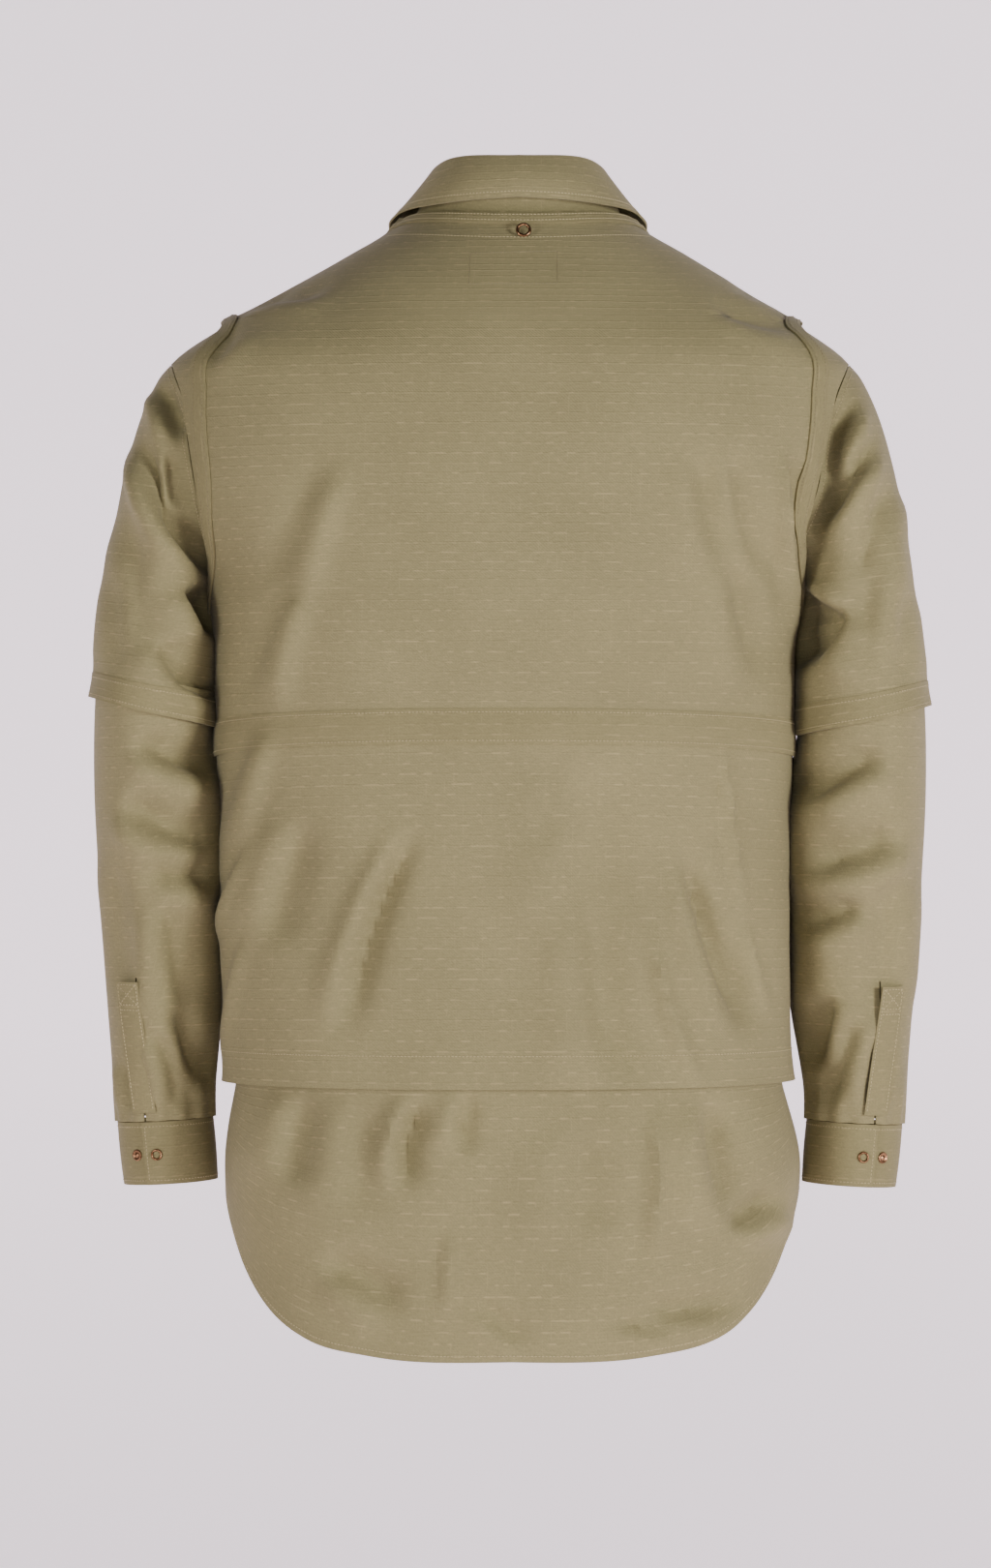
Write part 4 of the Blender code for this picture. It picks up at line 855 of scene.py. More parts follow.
RIGHT_UPPER_CREASES = (
    (0.240, -0.118, 0.2195, -0.194, -0.004, 0.008, 0.0066),
    (0.252, -0.150, 0.211, -0.214, 0.000, 0.008, 0.0056),
    (0.234, -0.258, 0.211, -0.303, 0.000, 0.013, 0.0060),
    (0.213, -0.246, 0.228, -0.268, 0.000, 0.006, 0.0030),
    (0.260, -0.210, 0.245, -0.316, -0.004, 0.012, 0.0034),
    (0.274, -0.246, 0.270, -0.318, 0.000, 0.009, 0.0022),
    (0.264, -0.176, 0.238, -0.244, 0.003, 0.009, 0.0034),
)
RIGHT_LOWER_CREASES = (
    (0.262, -0.360, 0.212, -0.396, -0.003, 0.011, 0.0050),
    (0.274, -0.414, 0.211, -0.440, 0.004, 0.012, 0.0058),
    (0.250, -0.466, 0.209, -0.484, 0.000, 0.011, 0.0044),
    (0.268, -0.442, 0.262, -0.555, -0.003, 0.013, 0.0028),
    (0.232, -0.530, 0.208, -0.592, 0.000, 0.010, 0.0052),
    (0.245, -0.541, 0.217, -0.616, 0.003, 0.009, 0.0044),
    (0.262, -0.556, 0.256, -0.620, 0.000, 0.008, 0.0028),
)
CREASES = {"left": (LEFT_UPPER_CREASES, LEFT_LOWER_CREASES),
           "right": (RIGHT_UPPER_CREASES, RIGHT_LOWER_CREASES)}
SQUEEZE = {1: (0.0070, 0.0045), -1: (0.0125, 0.0055)}
RIGHT_DROP = 0.006
SLIT = np.radians(70)
SLIT_HALF = np.radians(1.2)
UPPER_LEVELS = np.linspace(0.0, 7.0, 64)
LOWER_LEVELS = np.linspace(0.0, 9.0, 84)


def table_rings(table, turn):
    """Each ring is middle + half * (cos, sin) with a superellipse's powers, tilted with its two points."""
    size = {name: table[:, index, None] for index, name in enumerate(SLEEVE_COLUMNS)}
    power = 2 / size["power"]
    cosine = np.sign(np.cos(turn)) * np.abs(np.cos(turn)) ** power
    sine = np.sign(np.sin(turn)) * np.abs(np.sin(turn)) ** power
    x = (size["outer_x"] + size["inner_x"]) / 2 + (size["outer_x"] - size["inner_x"]) / 2 * cosine
    z = (size["outer_z"] + size["inner_z"]) / 2 + (size["outer_z"] - size["inner_z"]) / 2 * cosine
    y = size["middle_y"] + np.where(sine > 0, size["back"], size["front"]) * sine
    return np.stack([x, y, z], axis=-1)


def between_rings(rings, levels):
    """A cubic through the rings: the weight of every ring at every level, times the rings."""
    count = np.arange(len(rings))
    weights = np.stack([through(count, row, levels) for row in np.eye(len(rings))], axis=1)
    return np.tensordot(weights, rings, 1)


def outward(rings):
    """The normal of a tube's grid, turned away from the middle of its rings."""
    ringed = np.concatenate([rings[:, -1:], rings, rings[:, :1]], axis=1)
    normal = grid_normal(ringed)[:, 1:-1]
    away = rings - rings.mean(axis=1, keepdims=True)
    return normal * np.sign((normal * away).sum(axis=-1).mean())


def to_side(points, side):
    """Lays a sleeve's inner side against the body; the right one is mirrored and hangs a little lower."""
    points = points.copy()
    height = points[..., 2]
    at_waist = smooth(-0.24, -0.28, height) * smooth(-0.48, -0.42, height)
    base, more = SQUEEZE[side]
    against = base * smooth(-0.17, -0.25, height) * smooth(-0.615, -0.52, height) + more * at_waist
    points[..., 0] -= against * smooth(0.262, 0.212, points[..., 0])
    if side < 0:
        z = points[..., 2]
        points[..., 2] = z - RIGHT_DROP * smooth(-0.12, -0.32, z) * (1 - 0.7 * smooth(-0.40, -0.62, z))
        points[..., 0] *= -1
    return points


def creased(rings, creases):
    """Moves a tube in and out by its creases: as listed behind, and in front weaker and a little lower."""
    normal = outward(rings)
    middle = rings[..., 1] - rings[..., 1].mean(axis=1, keepdims=True)
    behind = crease_rise(rings, creases, 2.2) * smooth(0.0, 0.022, middle)
    before = crease_rise(rings + np.array([0.004, 0.0, 0.022]), creases) * smooth(0.0, 0.022, -middle)
    loose = slack(rings * np.array([1.0, 1.0, 0.8]), 0.0013) * smooth(-0.10, -0.16, rings[..., 2])
    return rings + normal * (behind + before + loose)[..., None], normal


def upper_tube(turn, side, levels, creases):
    """The short sleeve: its first ring runs along the shirt's armhole, the others come from the table."""
    rings = table_rings(UPPER_SLEEVE, turn)
    angle, height = armhole_place(SHIRT_ARMHOLE, turn, side)
    root = form_point(angle, height) * np.array([side, 1.0, 1.0])
    along = rings[0] - root
    root = root + along / np.linalg.norm(along, axis=-1, keepdims=True) * 0.0009
    return creased(between_rings(np.concatenate([root[None], rings]), levels), creases)


def lower_tube(turn, levels, creases, pull=0.0017):
    """The long sleeve: hung inside the short one's last ring but one, with small pleats above the cuff."""
    rings = np.concatenate([table_rings(UPPER_SLEEVE[-2:-1], turn), table_rings(LOWER_SLEEVE, turn)])
    rings[0] -= outward(rings)[0] * pull
    tube = between_rings(rings, levels)
    pleats = 0.0009 * np.sin(13 * turn + 0.8) * smooth(-0.575, -0.622, tube[..., 2])
    points, normal = creased(tube, creases)
    return points + normal * pleats[..., None], normal


turn = np.linspace(0.0, 2 * np.pi, 97)[:-1]
around = np.linspace(SLIT + SLIT_HALF, SLIT - SLIT_HALF + 2 * np.pi, 97)
for side, word in SIDES:
    upper_creases, lower_creases = CREASES[word]
    tube, normal = upper_tube(turn, side, UPPER_LEVELS, upper_creases)
    cloth_shell("sleeve_upper_%s_cloth" % word, to_side(tube, side), to_side(tube - normal * CLOTH, side),
                CLOTH_FINISH, closed=True, grain=(0.14 * side, 0.0, -1.0))

    band, out = upper_tube(turn, side, np.linspace(6.16, 7.0, 8), upper_creases)
    band = band + out * (0.0003 + CLOTH * np.linspace(0.3, 1.1, 8))[:, None, None]
    band[-1] += (band[-1] - band[-2]) * 0.12
    cloth_shell("sleeve_band_%s_cloth" % word, to_side(band, side), to_side(band - out * CLOTH, side),
                TRIM_FINISH, closed=True)

    tube, normal = lower_tube(around, LOWER_LEVELS, lower_creases)
    slit_rows = np.zeros((len(tube) - 1, len(around)), bool)
    slit_rows[LOWER_LEVELS[:-1] >= 6.0, -1] = True
    cloth_shell("sleeve_lower_%s_cloth" % word, to_side(tube, side), to_side(tube - normal * CLOTH, side),
                CLOTH_FINISH, closed=True, missing=slit_rows, grain=(-0.03 * side, 0.0, -1.0))


# %% [markdown]
# ## Plackets and cuffs
# A slit lets the cuff open. Its edge is faced with a strip whose top is boxed and crossed with stitches.
# The cuff is one doubled strip that laps over itself at the back.

# %% Plackets and cuffs
CUFF_TOP = -0.6245
CUFF_HEIGHT = 0.044
CUFF_CENTRE = (0.2445, -0.0310)
CUFF_START = np.radians(66)
CUFF_TURN = np.radians(360 + 30)


def placket_point(across, share, off):
    """A place on the sleeve's facing: across is -1 to 1 over its width, share is 0 at its box, 1 at the cuff."""
    level = 6.15 + share * 2.65
    middle = np.radians(60 + 12 * share)
    turn = middle + np.radians(13) * np.asarray(across, float)
    rings = np.concatenate([table_rings(UPPER_SLEEVE[-2:-1], turn), table_rings(LOWER_SLEEVE, turn)])
    point = between_rings(rings, np.atleast_1d(level))
    away = np.stack([np.cos(turn), np.sin(turn) * 0.8, turn * 0], axis=-1)
    away = away / np.linalg.norm(away, axis=-1, keepdims=True)
    return point + away * off, np.broadcast_to(away, point.shape)


def placket_line(start, end, count):
    """Places at even steps along a straight line drawn on the facing, and their outward directions."""
    steps = np.linspace(0.0, 1.0, count)
    spots = [placket_point(np.array([start[0] + (end[0] - start[0]) * step]),
                           start[1] + (end[1] - start[1]) * step, 0.0023) for step in steps]
    return (np.concatenate([spot[part][0] for spot in spots]) for part in (0, 1))


def cuff_point(turn, share, off=0.0):
    """A spiral strip: the radius shrinks with the turn by one layer a round, and a little down the wrist."""
    turn = np.asarray(turn, float)
    layer = (turn - CUFF_START) / (2 * np.pi) * (DOUBLED + 0.0007)
    narrow = 1 - 0.02 * share
    swell = off + 0.0005 * np.sin(np.pi * share)
    x = CUFF_CENTRE[0] - 0.004 * share + (0.0352 * narrow + swell - layer) * np.cos(turn)
    y = CUFF_CENTRE[1] + (0.0375 * narrow + swell - layer) * np.sin(turn)
    z = CUFF_TOP - CUFF_HEIGHT * share - 0.002 * np.cos(turn)
    return np.stack([x, y, z + 0 * x], axis=-1)


for side, word in SIDES:
    rows = [placket_point(np.linspace(-1, 1, 11), share, 0.0022) for share in np.linspace(0, 1, 40)]
    strip = np.concatenate([row[0] for row in rows])
    away = np.concatenate([row[1] for row in rows])
    cloth_shell("sleeve_placket_%s_cloth" % word, to_side(strip, side), to_side(strip - away * CLOTH, side),
                TRIM_FINISH)
    wrist = np.linspace(CUFF_START, CUFF_START + CUFF_TURN, 100)
    outer = np.array([cuff_point(wrist, share) for share in np.linspace(0, 1, 12)])
    inner = np.array([cuff_point(wrist, share, -DOUBLED) for share in np.linspace(0, 1, 12)])
    cloth_shell("cuff_%s_cloth" % word, to_side(outer, side), to_side(inner, side), TRIM_FINISH)

# %% [markdown]
# ## The collar
# A stand rises from the shirt's neck edge and the leaf falls over it. The leaf's edge lies on the vest,
# so its place is given on the form, and the leaf bulges a little between the fold and that edge.

# %% Collar
LEAF_EDGE = np.array(((90, 0.0173, 0.0100), (45, 0.0125, 0.0110), (0, 0.0022, 0.0110), (-42, -0.0200, 0.0120),
                      (-68, -0.0650, 0.0120), (-79, -0.1000, 0.0130)))
FOLD_HEIGHT = ((90, 0.0487), (35, 0.0470), (0, 0.0340), (-40, 0.0060), (-82, -0.0400))
FOLD_END = -82


def fold_point(angle):
    """The fold line is an ellipse round the neck, 64 by 59 mm behind, that falls to the front."""
    radians = np.radians(angle)
    depth = np.where(np.sin(radians) > 0, 0.0590, 0.0640)
    angles, heights = zip(*FOLD_HEIGHT)
    folded = np.where(angle > 90, 180 - angle, angle)
    x = -0.006 + 0.0640 * np.cos(radians)
    return np.stack([x, BODY_Y + depth * np.sin(radians), through(angles, heights, folded)], axis=-1)


def towards_neck(points):
    """The level direction from each point to the middle of the neck."""
    inwards = (np.array([-0.006, BODY_Y, 0.0]) - points) * np.array([1.0, 1.0, 0.0])
    return inwards / np.linalg.norm(inwards, axis=-1, keepdims=True)


def leaf_point(share, down):
    """share runs from -1, one front tip, to 1, the other; down from 0 at the fold to 1 at the edge."""
    share = np.asarray(share, float)
    down = np.asarray(down, float)[..., None]
    reach = np.abs(share) ** 1.15
    spread = 90 - (90 - LEAF_EDGE[-1, 0]) * reach
    height = through(LEAF_EDGE[:, 0], LEAF_EDGE[:, 1], spread)
    off = through(LEAF_EDGE[:, 0], LEAF_EDGE[:, 2], spread)
    edge = form_point(np.where(share < 0, spread, 180 - spread), height)
    edge = edge + form_normal(edge) * off[..., None]
    folded = 90 - (90 - FOLD_END) * reach
    fold = fold_point(np.where(share < 0, folded, 180 - folded))
    point = fold + (edge - fold) * down
    away = -towards_neck(point)
    wave = 0.0007 * np.sin(9 * share + 0.7)[..., None] * down
    full = 1 - 0.9 * smooth(0.12, 0.42, np.abs(share))[..., None]
    return point + away * (full * (0.0035 * np.sin(np.pi * down) + 0.0022 * (1 - down)) + wave)


angle = np.linspace(FOLD_END, 180 - FOLD_END, 101)
foot = form_point(angle, neck_height(SHIRT_NECK, angle))
head = fold_point(angle) - np.array([0.0, 0.0, 0.0026])
foot = foot + towards_neck(foot) * 0.0032 - np.array([0.0, 0.0, 0.0010])
outer = foot + (head - foot) * np.linspace(0.0, 1.0, 12)[:, None, None]
cloth_shell("collar_stand_cloth", outer, outer + towards_neck(outer) * DOUBLED, TRIM_FINISH)

share, down = np.meshgrid(np.linspace(-1.0, 1.0, 121), np.linspace(0.0, 1.0, 16))
leaf = leaf_point(share, down)
leaf_normal = grid_normal(leaf)
leaf_normal = leaf_normal * np.sign((leaf_normal * -towards_neck(leaf)).sum(axis=-1, keepdims=True))
cloth_shell("collar_leaf_cloth", leaf, leaf - leaf_normal * DOUBLED, CLOTH_FINISH)
print("cloth pieces:", len(SHEETS))


# %% [markdown]
# ## Topstitching
# Lockstitch rows show as short dashes of thread, ten to the inch, each a little sunk at both ends where
# the needle pulled it in. A row is a line on the surface; it is cut into equal stitches, and every stitch
# is a short four-sided bead, so thousands of them stay light.

# %% Stitches
STITCH_PITCH = 0.0025
STITCH_LENGTH = 0.0017
THREAD_HALF = 0.00036
STITCH_ROWS = {}
OLIVE_ROWS = ("neck_box", "vest_armhole", "shirt_placket")


def stitch_row(group, points, normals, sunk=0.0001):
    """Cuts a line into stitches: centres every pitch along its length, with both ends and the normal."""
    steps = np.linalg.norm(np.diff(points, axis=0), axis=1)
    length = np.concatenate([[0.0], np.cumsum(steps)])
    count = max(int(length[-1] / STITCH_PITCH), 1)
    middle = (np.arange(count) + 0.5) * length[-1] / count
    ends = [np.stack([np.interp(middle + half, length, points[:, axis]) for axis in range(3)], axis=1)
            for half in (-STITCH_LENGTH / 2, STITCH_LENGTH / 2)]
    up = np.stack([np.interp(middle, length, normals[:, axis]) for axis in range(3)], axis=1)
    up = up / np.linalg.norm(up, axis=1, keepdims=True)
    STITCH_ROWS.setdefault(group, []).append((ends[0] - up * sunk, ends[1] - up * sunk, up))


def sew(group, angle, height, layer, off, lapped=False):
    """A row of stitches along angles and heights of a layer's surface."""
    points, normals = surface(np.asarray(angle, float), np.asarray(height, float), layer, off, lapped)
    stitch_row(group, points, normals)


def make_stitches(group):
    """Every stitch is a bead: a square ring at each of four places along it, with closed, thinner ends."""
    first, last, up = (np.concatenate(part) for part in zip(*STITCH_ROWS[group]))
    along = (last - first) / np.linalg.norm(last - first, axis=1, keepdims=True)
    beside = np.cross(along, up)
    profile = ((0.0, 0.30), (0.30, 1.0), (0.70, 1.0), (1.0, 0.30))
    rings = []
    for share, size in profile:
        middle = first + (last - first) * share
        corners = [middle + THREAD_HALF * size * (beside * a + up * (b + 0.2))
                   for a, b in ((1, 0), (0, 1), (-1, 0), (0, -1))]
        rings.append(np.stack(corners, axis=1))
    points = np.stack(rings, axis=1)
    count = len(points)
    local = []
    for ring in range(len(profile) - 1):
        for corner in range(4):
            after = (corner + 1) % 4
            local.append((4 * ring + corner, 4 * ring + after, 4 * ring + 4 + after, 4 * ring + 4 + corner))
    local.append((3, 2, 1, 0))
    local.append(tuple(4 * (len(profile) - 1) + corner for corner in range(4)))
    faces = (np.array(local)[None] + 4 * len(profile) * np.arange(count)[:, None, None]).reshape(-1, 4)
    finish = OLIVE_THREAD if group in OLIVE_ROWS else THREAD_FINISH
    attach(face_object(group + "_stitches", points.reshape(-1, 3), faces, finish), "root")


# %% [markdown]
# ### Rows on the vest
# Two rows close the casing, one the hem, one each binding. Two more rows and a plain boxed rectangle lie
# under the collar, where the neck facing is caught down.

# %% Vest rows
casing_line = np.linspace(2.0, 178.0, 320)
casing_line_top = CASING_TOP - CASING_DROOP * (1 - np.sin(np.radians(casing_line)))
for inset, off in ((0.0022, 0.0010), (CASING_HEIGHT - 0.0030, 0.0023)):
    sew("vest_casing", casing_line, casing_line_top - inset, "vest", off)
HEM_INSET = 0.0225
hem_line = np.linspace(1.0, 179.0, 300)
sew("vest_hem", hem_line, 0 * hem_line + VEST_HEM + HEM_INSET, "vest", 0.0001)
front_line = np.linspace(-1.0, -94.0, 160)
sew("vest_hem", front_line, 0 * front_line + VEST_HEM + HEM_INSET, "vest", 0.0001, lapped=True)
sew("vest_hem", -180 - front_line, 0 * front_line + VEST_HEM + HEM_INSET, "vest", 0.0001)
lap_line = np.linspace(-0.125, VEST_HEM + 0.004, 260)
sew("vest_front", lap_angle(lap_line, LAP - 0.004), lap_line, "vest", 0.0001, lapped=True)
sew("vest_front", lap_angle(lap_line, -LAP - 0.010), lap_line, "vest", 0.0001, lapped=True)
for side in (1, -1):
    ring = np.linspace(0.0, 2 * np.pi, 400)
    for share in (0.12, 0.80):
        where = armhole_place(VEST_ARMHOLE, ring, side, *np.array(ARMHOLE_BINDING) * share)
        sew("vest_armhole", *where, "vest", 0.0019)
neck_line = np.linspace(-66.0, 246.0, 400)
neck_edge = neck_height(VEST_NECK, neck_line)
neck_step = steepness(neck_line, neck_edge)
for inset, off in ((0.0022, 0.0019), (0.0072, 0.0019), (0.0200, 0.0001)):
    span = slice(0, 400) if inset < 0.01 else slice(112, 288)
    sew("vest_neck", neck_line[span], (neck_edge - inset / neck_step)[span], "vest", off)


def flat_line(corners, spacing=0.001):
    """Points every millimetre along straight lines between corners given as x and z in the back view."""
    corners = np.array(corners, float)
    pieces = []
    for first, last in zip(corners[:-1], corners[1:]):
        count = max(int(np.linalg.norm(last - first) / spacing), 2)
        pieces.append(first + (last - first) * np.linspace(0.0, 1.0, count)[:, None])
    return np.concatenate(pieces)


def back_place(flat):
    """Angle and height on the back of the form for x and z: the superellipse solved for its angle."""
    centre, half_width, back, front, power = section(flat[:, 1])
    reach = np.clip((flat[:, 0] - centre) / half_width, -1, 1)
    return np.degrees(np.arccos(np.sign(reach) * np.abs(reach) ** (power / 2))), flat[:, 1]


NECK_BOX = ((0.0271, -0.0240), (-0.0320, -0.0222), (-0.0320, -0.0456), (0.0284, -0.0462), (0.0271, -0.0240))
sew("neck_box", *back_place(flat_line(NECK_BOX)), "vest", 0.0001)


# %% [markdown]
# ### Rows on the shirt
# The tail's narrow rolled hem, the felled armhole seams, the placket, the collar leaf's edge, the sleeve
# bands, the crossed box on each sleeve placket and the edges of the cuffs.

# %% Shirt rows
TAIL_INSET = 0.0045
turned = np.linspace(1.0, 90.0, 240)
tail = hem_height(BACK_HEM, turned, 1) + TAIL_INSET
whole_turn = np.concatenate([turned, 180 - turned[::-1]])
sew("shirt_hem", whole_turn, np.concatenate([tail, tail[::-1]]), "shirt", 0.0001)
turned = np.linspace(1.0, 93.0, 200)
tail = hem_height(FRONT_HEM, turned, -1) + TAIL_INSET
sew("shirt_hem", -turned, tail, "shirt", 0.0001, lapped=True)
sew("shirt_hem", turned - 180, tail, "shirt", 0.0001)
lap_line = np.linspace(-0.600, FRONT_HEM[-1][1] + 0.004, 120)
for lap in (LAP - 0.003, 0.003 - LAP):
    sew("shirt_placket", lap_angle(lap_line, lap), lap_line, "shirt", LAP_LIFT + 0.0018)

PLACKET_LINES = (
    ((-0.82, 0.01), (-0.82, 0.97), 70), ((0.82, 0.01), (0.82, 0.97), 70),
    ((-0.8, 0.02), (0.8, 0.02), 30), ((-0.8, 0.02), (0.8, 0.17), 30), ((0.8, 0.02), (-0.8, 0.17), 30),
    ((-0.8, 0.17), (0.8, 0.17), 30), ((-0.8, 0.21), (0.8, 0.21), 30))
turn_line = np.linspace(0.0, 2 * np.pi, 361)[:-1]
for side, word in SIDES:
    mirror = np.array([side, 1, 1])
    upper_creases = CREASES[word][0]
    tube, out = upper_tube(turn_line, side, np.array([0.0, 0.25, 0.45, 6.1, 6.25, 6.4]), upper_creases)
    seam = tube[1] + out[1] * 0.0001
    stitch_row("sleeve", to_side(seam, side), out[1] * mirror)
    ring = np.linspace(0.0, 2 * np.pi, 400)
    band, out = upper_tube(ring[:-1], side, np.linspace(6.16, 7.0, 8), upper_creases)
    for level in (1, 6):
        line = band[level] + out[level] * (0.0004 + CLOTH * (0.3 + 0.8 * level / 7))
        stitch_row("sleeve", to_side(line, side), out[level] * mirror)

    for start, end, count in PLACKET_LINES:
        line, away = placket_line(start, end, count)
        stitch_row("sleeve_placket", to_side(line, side), away * mirror)

    wrist = np.linspace(CUFF_START + 0.06, CUFF_START + 2 * np.pi - 0.02, 240)
    for share in (0.07, 0.93):
        line = cuff_point(wrist, share, 0.0001)
        out = np.stack([np.cos(wrist), np.sin(wrist), 0 * wrist], axis=-1)
        stitch_row("cuff", to_side(line, side), out * mirror)
    rise = np.linspace(0.07, 0.93, 40)
    line = np.concatenate([cuff_point(np.array([CUFF_START + 0.06]), share, 0.0001) for share in rise])
    out = np.tile(np.array([np.cos(CUFF_START) * side, np.sin(CUFF_START), 0.0]), (len(line), 1))
    stitch_row("cuff", to_side(line, side), out)

share = np.linspace(-0.985, 0.985, 500)
leaf_row = leaf_point(share, np.full(500, 0.86))
leaf_out = -towards_neck(leaf_row) * np.array([1.0, 1.0, 0.0]) + np.array([0.0, 0.0, 0.35])
leaf_out = leaf_out / np.linalg.norm(leaf_out, axis=1, keepdims=True)
stitch_row("collar", leaf_row + leaf_out * 0.0001, leaf_out)
for group in STITCH_ROWS:
    make_stitches(group)
stitch_count = sum(len(row[0]) for rows in STITCH_ROWS.values() for row in rows)
print("stitches:", stitch_count, "in", len(STITCH_ROWS), "groups")


# %% [markdown]
# ## Ring snaps
# A prong ring snap is a stamped ring, 10.8 mm wide, whose points go through the cloth and are rolled into
# the part behind. Its middle stays open, so the cloth shows. Its spare half on the cuff is a cap with a
# small stud. Both are one profile turned about an axis; the ring's inner edge comes and goes five times,
# once a prong.

# %% Snaps
RING_PROFILE = ((3.3, 0.00), (3.3, 0.45), (3.7, 0.95), (4.3, 1.20), (4.9, 1.05), (5.3, 0.60), (5.4, 0.00))
SOCKET_PROFILE = ((0.0, 0.85), (0.9, 0.80), (1.3, 0.45), (2.3, 0.35), (2.8, 0.80), (3.4, 1.00), (3.9, 0.70),
                  (4.1, 0.00))
SNAP_SIDES = 40


def snap(name, node, place, out, profile, size=1.0):
    """Turns a profile in mm about the outward direction; a ring closes on itself, a cap at its middle."""
    out = np.asarray(out, float) / np.linalg.norm(out)
    first = np.cross(out, (0.0, 0.0, 1.0))
    first = first / np.linalg.norm(first)
    second = np.cross(out, first)
    angle = np.linspace(0.0, 2 * np.pi, SNAP_SIDES + 1)[:-1]
    radius = np.array([row[0] for row in profile])[:, None] * 0.001 * size
    height = np.array([row[1] for row in profile])[:, None] * 0.001
    open_ring = profile[0][0] > 0
    if open_ring:
        prong = 0.0004 * size * np.maximum(np.cos(5 * angle), 0) ** 3
        radius = radius - prong * np.array([1, 1, 0.5, 0, 0, 0, 0])[:, None]
    else:
        radius = np.maximum(radius, 1e-5) + 0 * angle
    spoke = np.cos(angle)[:, None] * first + np.sin(angle)[:, None] * second
    points = place + out * height[..., None] + spoke * radius[..., None]
    rows = len(profile)
    row, column = np.mgrid[0:rows if open_ring else rows - 1, 0:SNAP_SIDES]
    after = (column + 1) % SNAP_SIDES
    under = (row + 1) % rows
    faces = np.stack([row * SNAP_SIDES + column, under * SNAP_SIDES + column,
                      under * SNAP_SIDES + after, row * SNAP_SIDES + after], axis=-1).reshape(-1, 4)
    points = points.reshape(-1, 3)
    if not open_ring:
        count = len(points)
        base = (rows - 1) * SNAP_SIDES
        points = np.concatenate([points, [place + out * profile[0][1] * 0.001, place]])
        side = np.arange(0, SNAP_SIDES, 2)
        tip = np.full_like(side, count)
        top = np.stack([side, side + 1, (side + 2) % SNAP_SIDES, tip], axis=-1)
        foot = np.stack([(side + 2) % SNAP_SIDES, side + 1, side, tip + 1 - base], axis=-1) + base
        faces = np.concatenate([faces, top[:, ::-1], foot[:, ::-1]])
    piece = face_object(name, points, faces, BRASS_FINISH)
    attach(piece, "root")
    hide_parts(node)


def on_layer(x, z, facing, layer, off, lapped=False):
    """The point of a layer's surface at x and z, behind or in front, and its outward direction."""
    angle, height = back_place(np.array([[x, z]]))
    points, normals = surface(facing * angle, height, layer, off, lapped)
    return points[0], normals[0]


place, out = on_layer(-0.009, -0.010, 1, "vest", 0.0040)
snap("neck_ring", "neck_snap", place, out + np.array([0.0, 0.9, 0.0]), RING_PROFILE)
VEST_SNAPS = -0.131 - 0.105 * np.arange(5)
SHIRT_SNAPS = -0.628 - 0.070 * np.arange(2)
for index, height in enumerate(VEST_SNAPS):
    where = on_layer(0.0, height, -1, "vest", 0.0003, lapped=True)
    snap("vest_ring_%d" % (index + 1), "vest_snap_%d" % (index + 1), *where, RING_PROFILE)
for index, height in enumerate(SHIRT_SNAPS):
    where = on_layer(0.0, height, -1, "shirt", LAP_LIFT + 0.0019)
    snap("shirt_ring_%d" % (index + 1), "shirt_snap_%d" % (index + 1), *where, RING_PROFILE)
CUFF_SNAPS = (("snap", 81, RING_PROFILE, 0.76), ("socket", 54 + 360, SOCKET_PROFILE, 1.0))
for side, word in SIDES:
    for kind, degrees, profile, size in CUFF_SNAPS:
        wrist = np.radians(degrees)
        place = to_side(cuff_point(wrist, 0.52, 0.0002)[None], side)[0]
        snap("cuff_%s_ring_%s" % (kind, word), "cuff_%s_%s" % (kind, word), place,
             (np.cos(wrist) * side, np.sin(wrist), 0.0), profile, size)
meshes = [piece.data for piece in bpy.data.objects if piece.type == "MESH" and piece.data.materials]
print("snaps:", sum(mesh.materials[0] is BRASS_FINISH for mesh in meshes))


# %% [markdown]
# ## How each piece is cut and attached
# A tailor's list: the flat size of each sheet as it shows, and its area. Each sheet is attached to the root body
# in place of its imported part. A sheet's area may be less than width times length, where its edges curve or
# slant.

# %% Sheets
for name, area, width, length in SHEETS:
    print("%-30s area %.4f  %.3f by %.3f" % (name, area, width, length))
    piece = bpy.data.objects[name]
    node = name[:-len("_cloth")]
    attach(piece, "root")
    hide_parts(node)

# %% [markdown]
# ## Stage, light and camera
# A pale sweep, and soft light from the camera's side with little from above, which is why the shoulders
# are darker than the back.

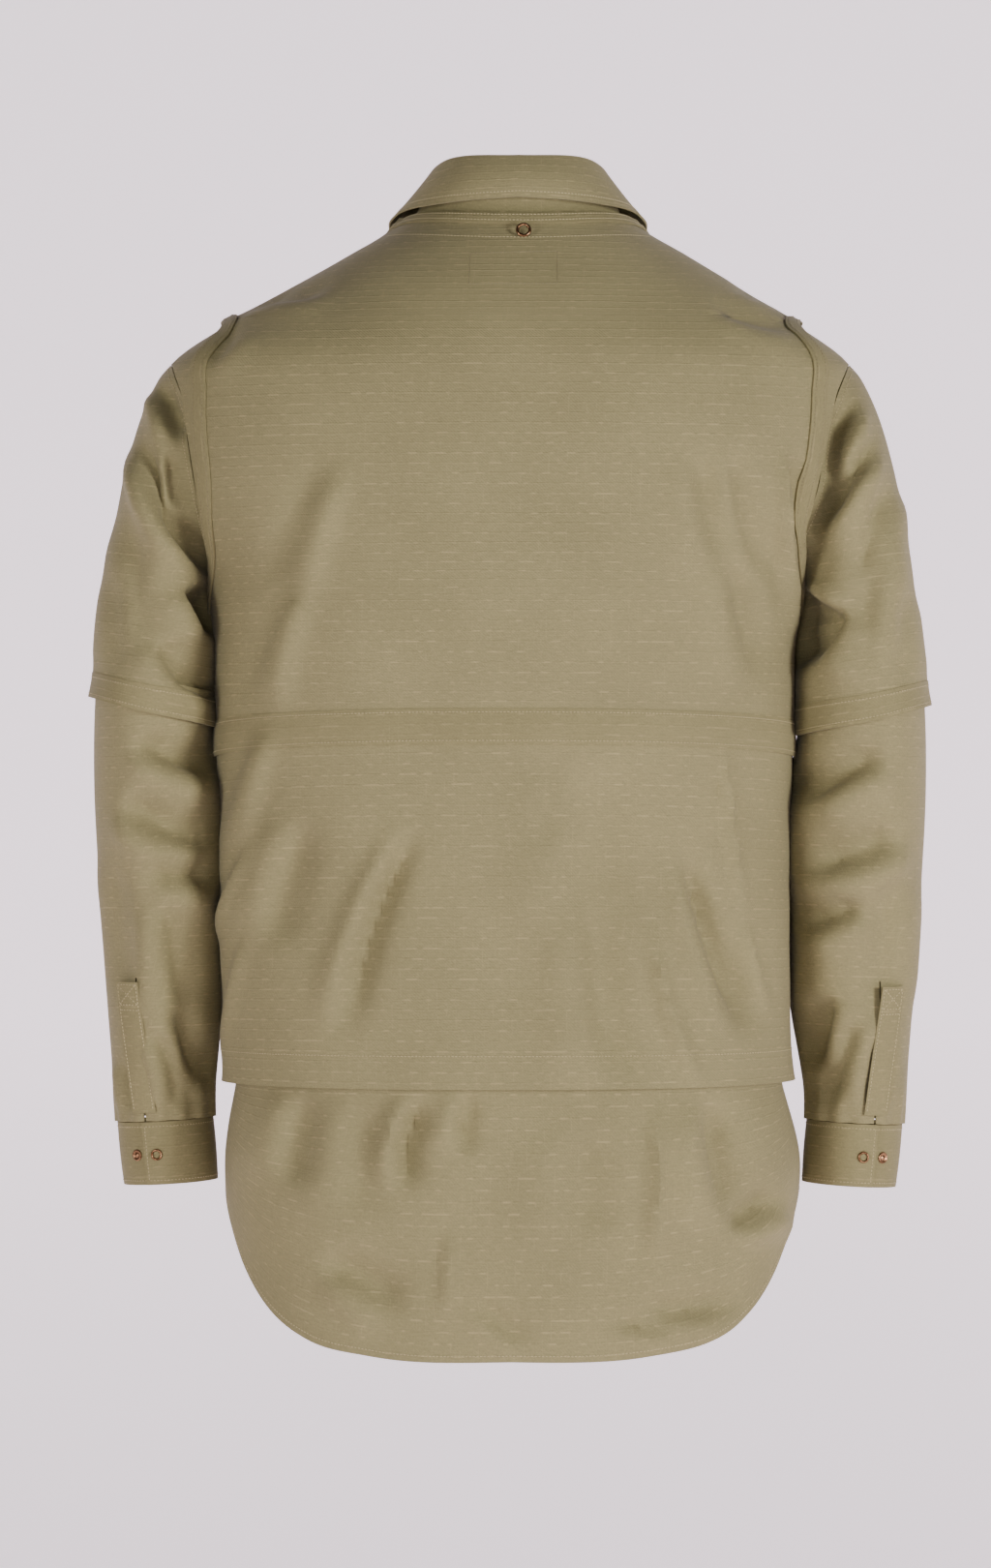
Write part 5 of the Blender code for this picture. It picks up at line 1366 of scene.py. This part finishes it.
# %% Stage, light and camera
sweep_y = np.concatenate([np.linspace(3.0, -0.9, 12), -0.9 - 0.5 * np.sin(np.linspace(0, np.pi / 2, 14)[1:]),
                          np.full(6, -1.4)])
sweep_z = np.concatenate([np.full(12, -1.10), -0.6 - 0.5 * np.cos(np.linspace(0, np.pi / 2, 14)[1:]),
                          np.linspace(-0.4, 3.0, 6)])
side = np.array([-4.0, 4.0])
grid = np.stack(np.broadcast_arrays(side[None], sweep_y[:, None], sweep_z[:, None]), axis=-1)
row = np.arange(len(sweep_y) - 1)
faces = np.stack([2 * row, 2 * row + 1, 2 * row + 3, 2 * row + 2], axis=-1)
paper, tree, shader = new_finish("studio_paper", Roughness=0.95, Specular_IOR_Level=0.1,
                                 Emission_Strength=1.0)
clouds = noise_at(tree, add_node(tree, "ShaderNodeTexCoord", out=3), 3.0, 2.0)
colour = blend(tree, clouds, linear("#EBDFE6"), linear("#EDE1E8"))
tree.links.new(colour, shader.inputs["Base Color"])
tree.links.new(colour, shader.inputs["Emission Color"])
mesh = bpy.data.meshes.new("paper_sweep")
mesh.from_pydata(grid.reshape(-1, 3).tolist(), [], faces.tolist())
mesh.shade_smooth()
mesh.materials.append(paper)
backdrop = bpy.data.objects.new("paper_sweep", mesh)
bpy.context.collection.objects.link(backdrop)


def soft_light(name, place, aim, width, power):
    """A square area light at place, turned to face aim."""
    lamp = bpy.data.lights.new(name, "AREA")
    lamp.size = width
    lamp.energy = power
    thing = bpy.data.objects.new(name, lamp)
    thing.location = place
    thing.rotation_euler = (Vector(aim) - Vector(place)).to_track_quat("-Z", "Y").to_euler()
    bpy.context.collection.objects.link(thing)


soft_light("key", (-2.7, 2.6, -0.30), (0.0, 0.0, -0.35), 0.9, 126)
soft_light("fill", (2.4, 2.9, -0.45), (0.0, 0.0, -0.40), 1.0, 62)
soft_light("front", (0.4, 3.9, -0.1), (0.0, 0.0, -0.45), 0.8, 25)

world = bpy.data.worlds.new("studio")
world.use_nodes = True
world.node_tree.nodes["Background"].inputs["Color"].default_value = linear("#E6E3E2")
world.node_tree.nodes["Background"].inputs["Strength"].default_value = 0.03
bpy.context.scene.world = world

camera = bpy.data.cameras.new("camera")
camera.sensor_fit = "VERTICAL"
camera.sensor_height = 36
camera.lens = 130.7
watcher = bpy.data.objects.new("camera", camera)
watcher.location = (0.0102, 4.0, -0.3876)
watcher.rotation_euler = (np.pi / 2, 0.0, np.pi)
bpy.context.collection.objects.link(watcher)
bpy.context.scene.camera = watcher
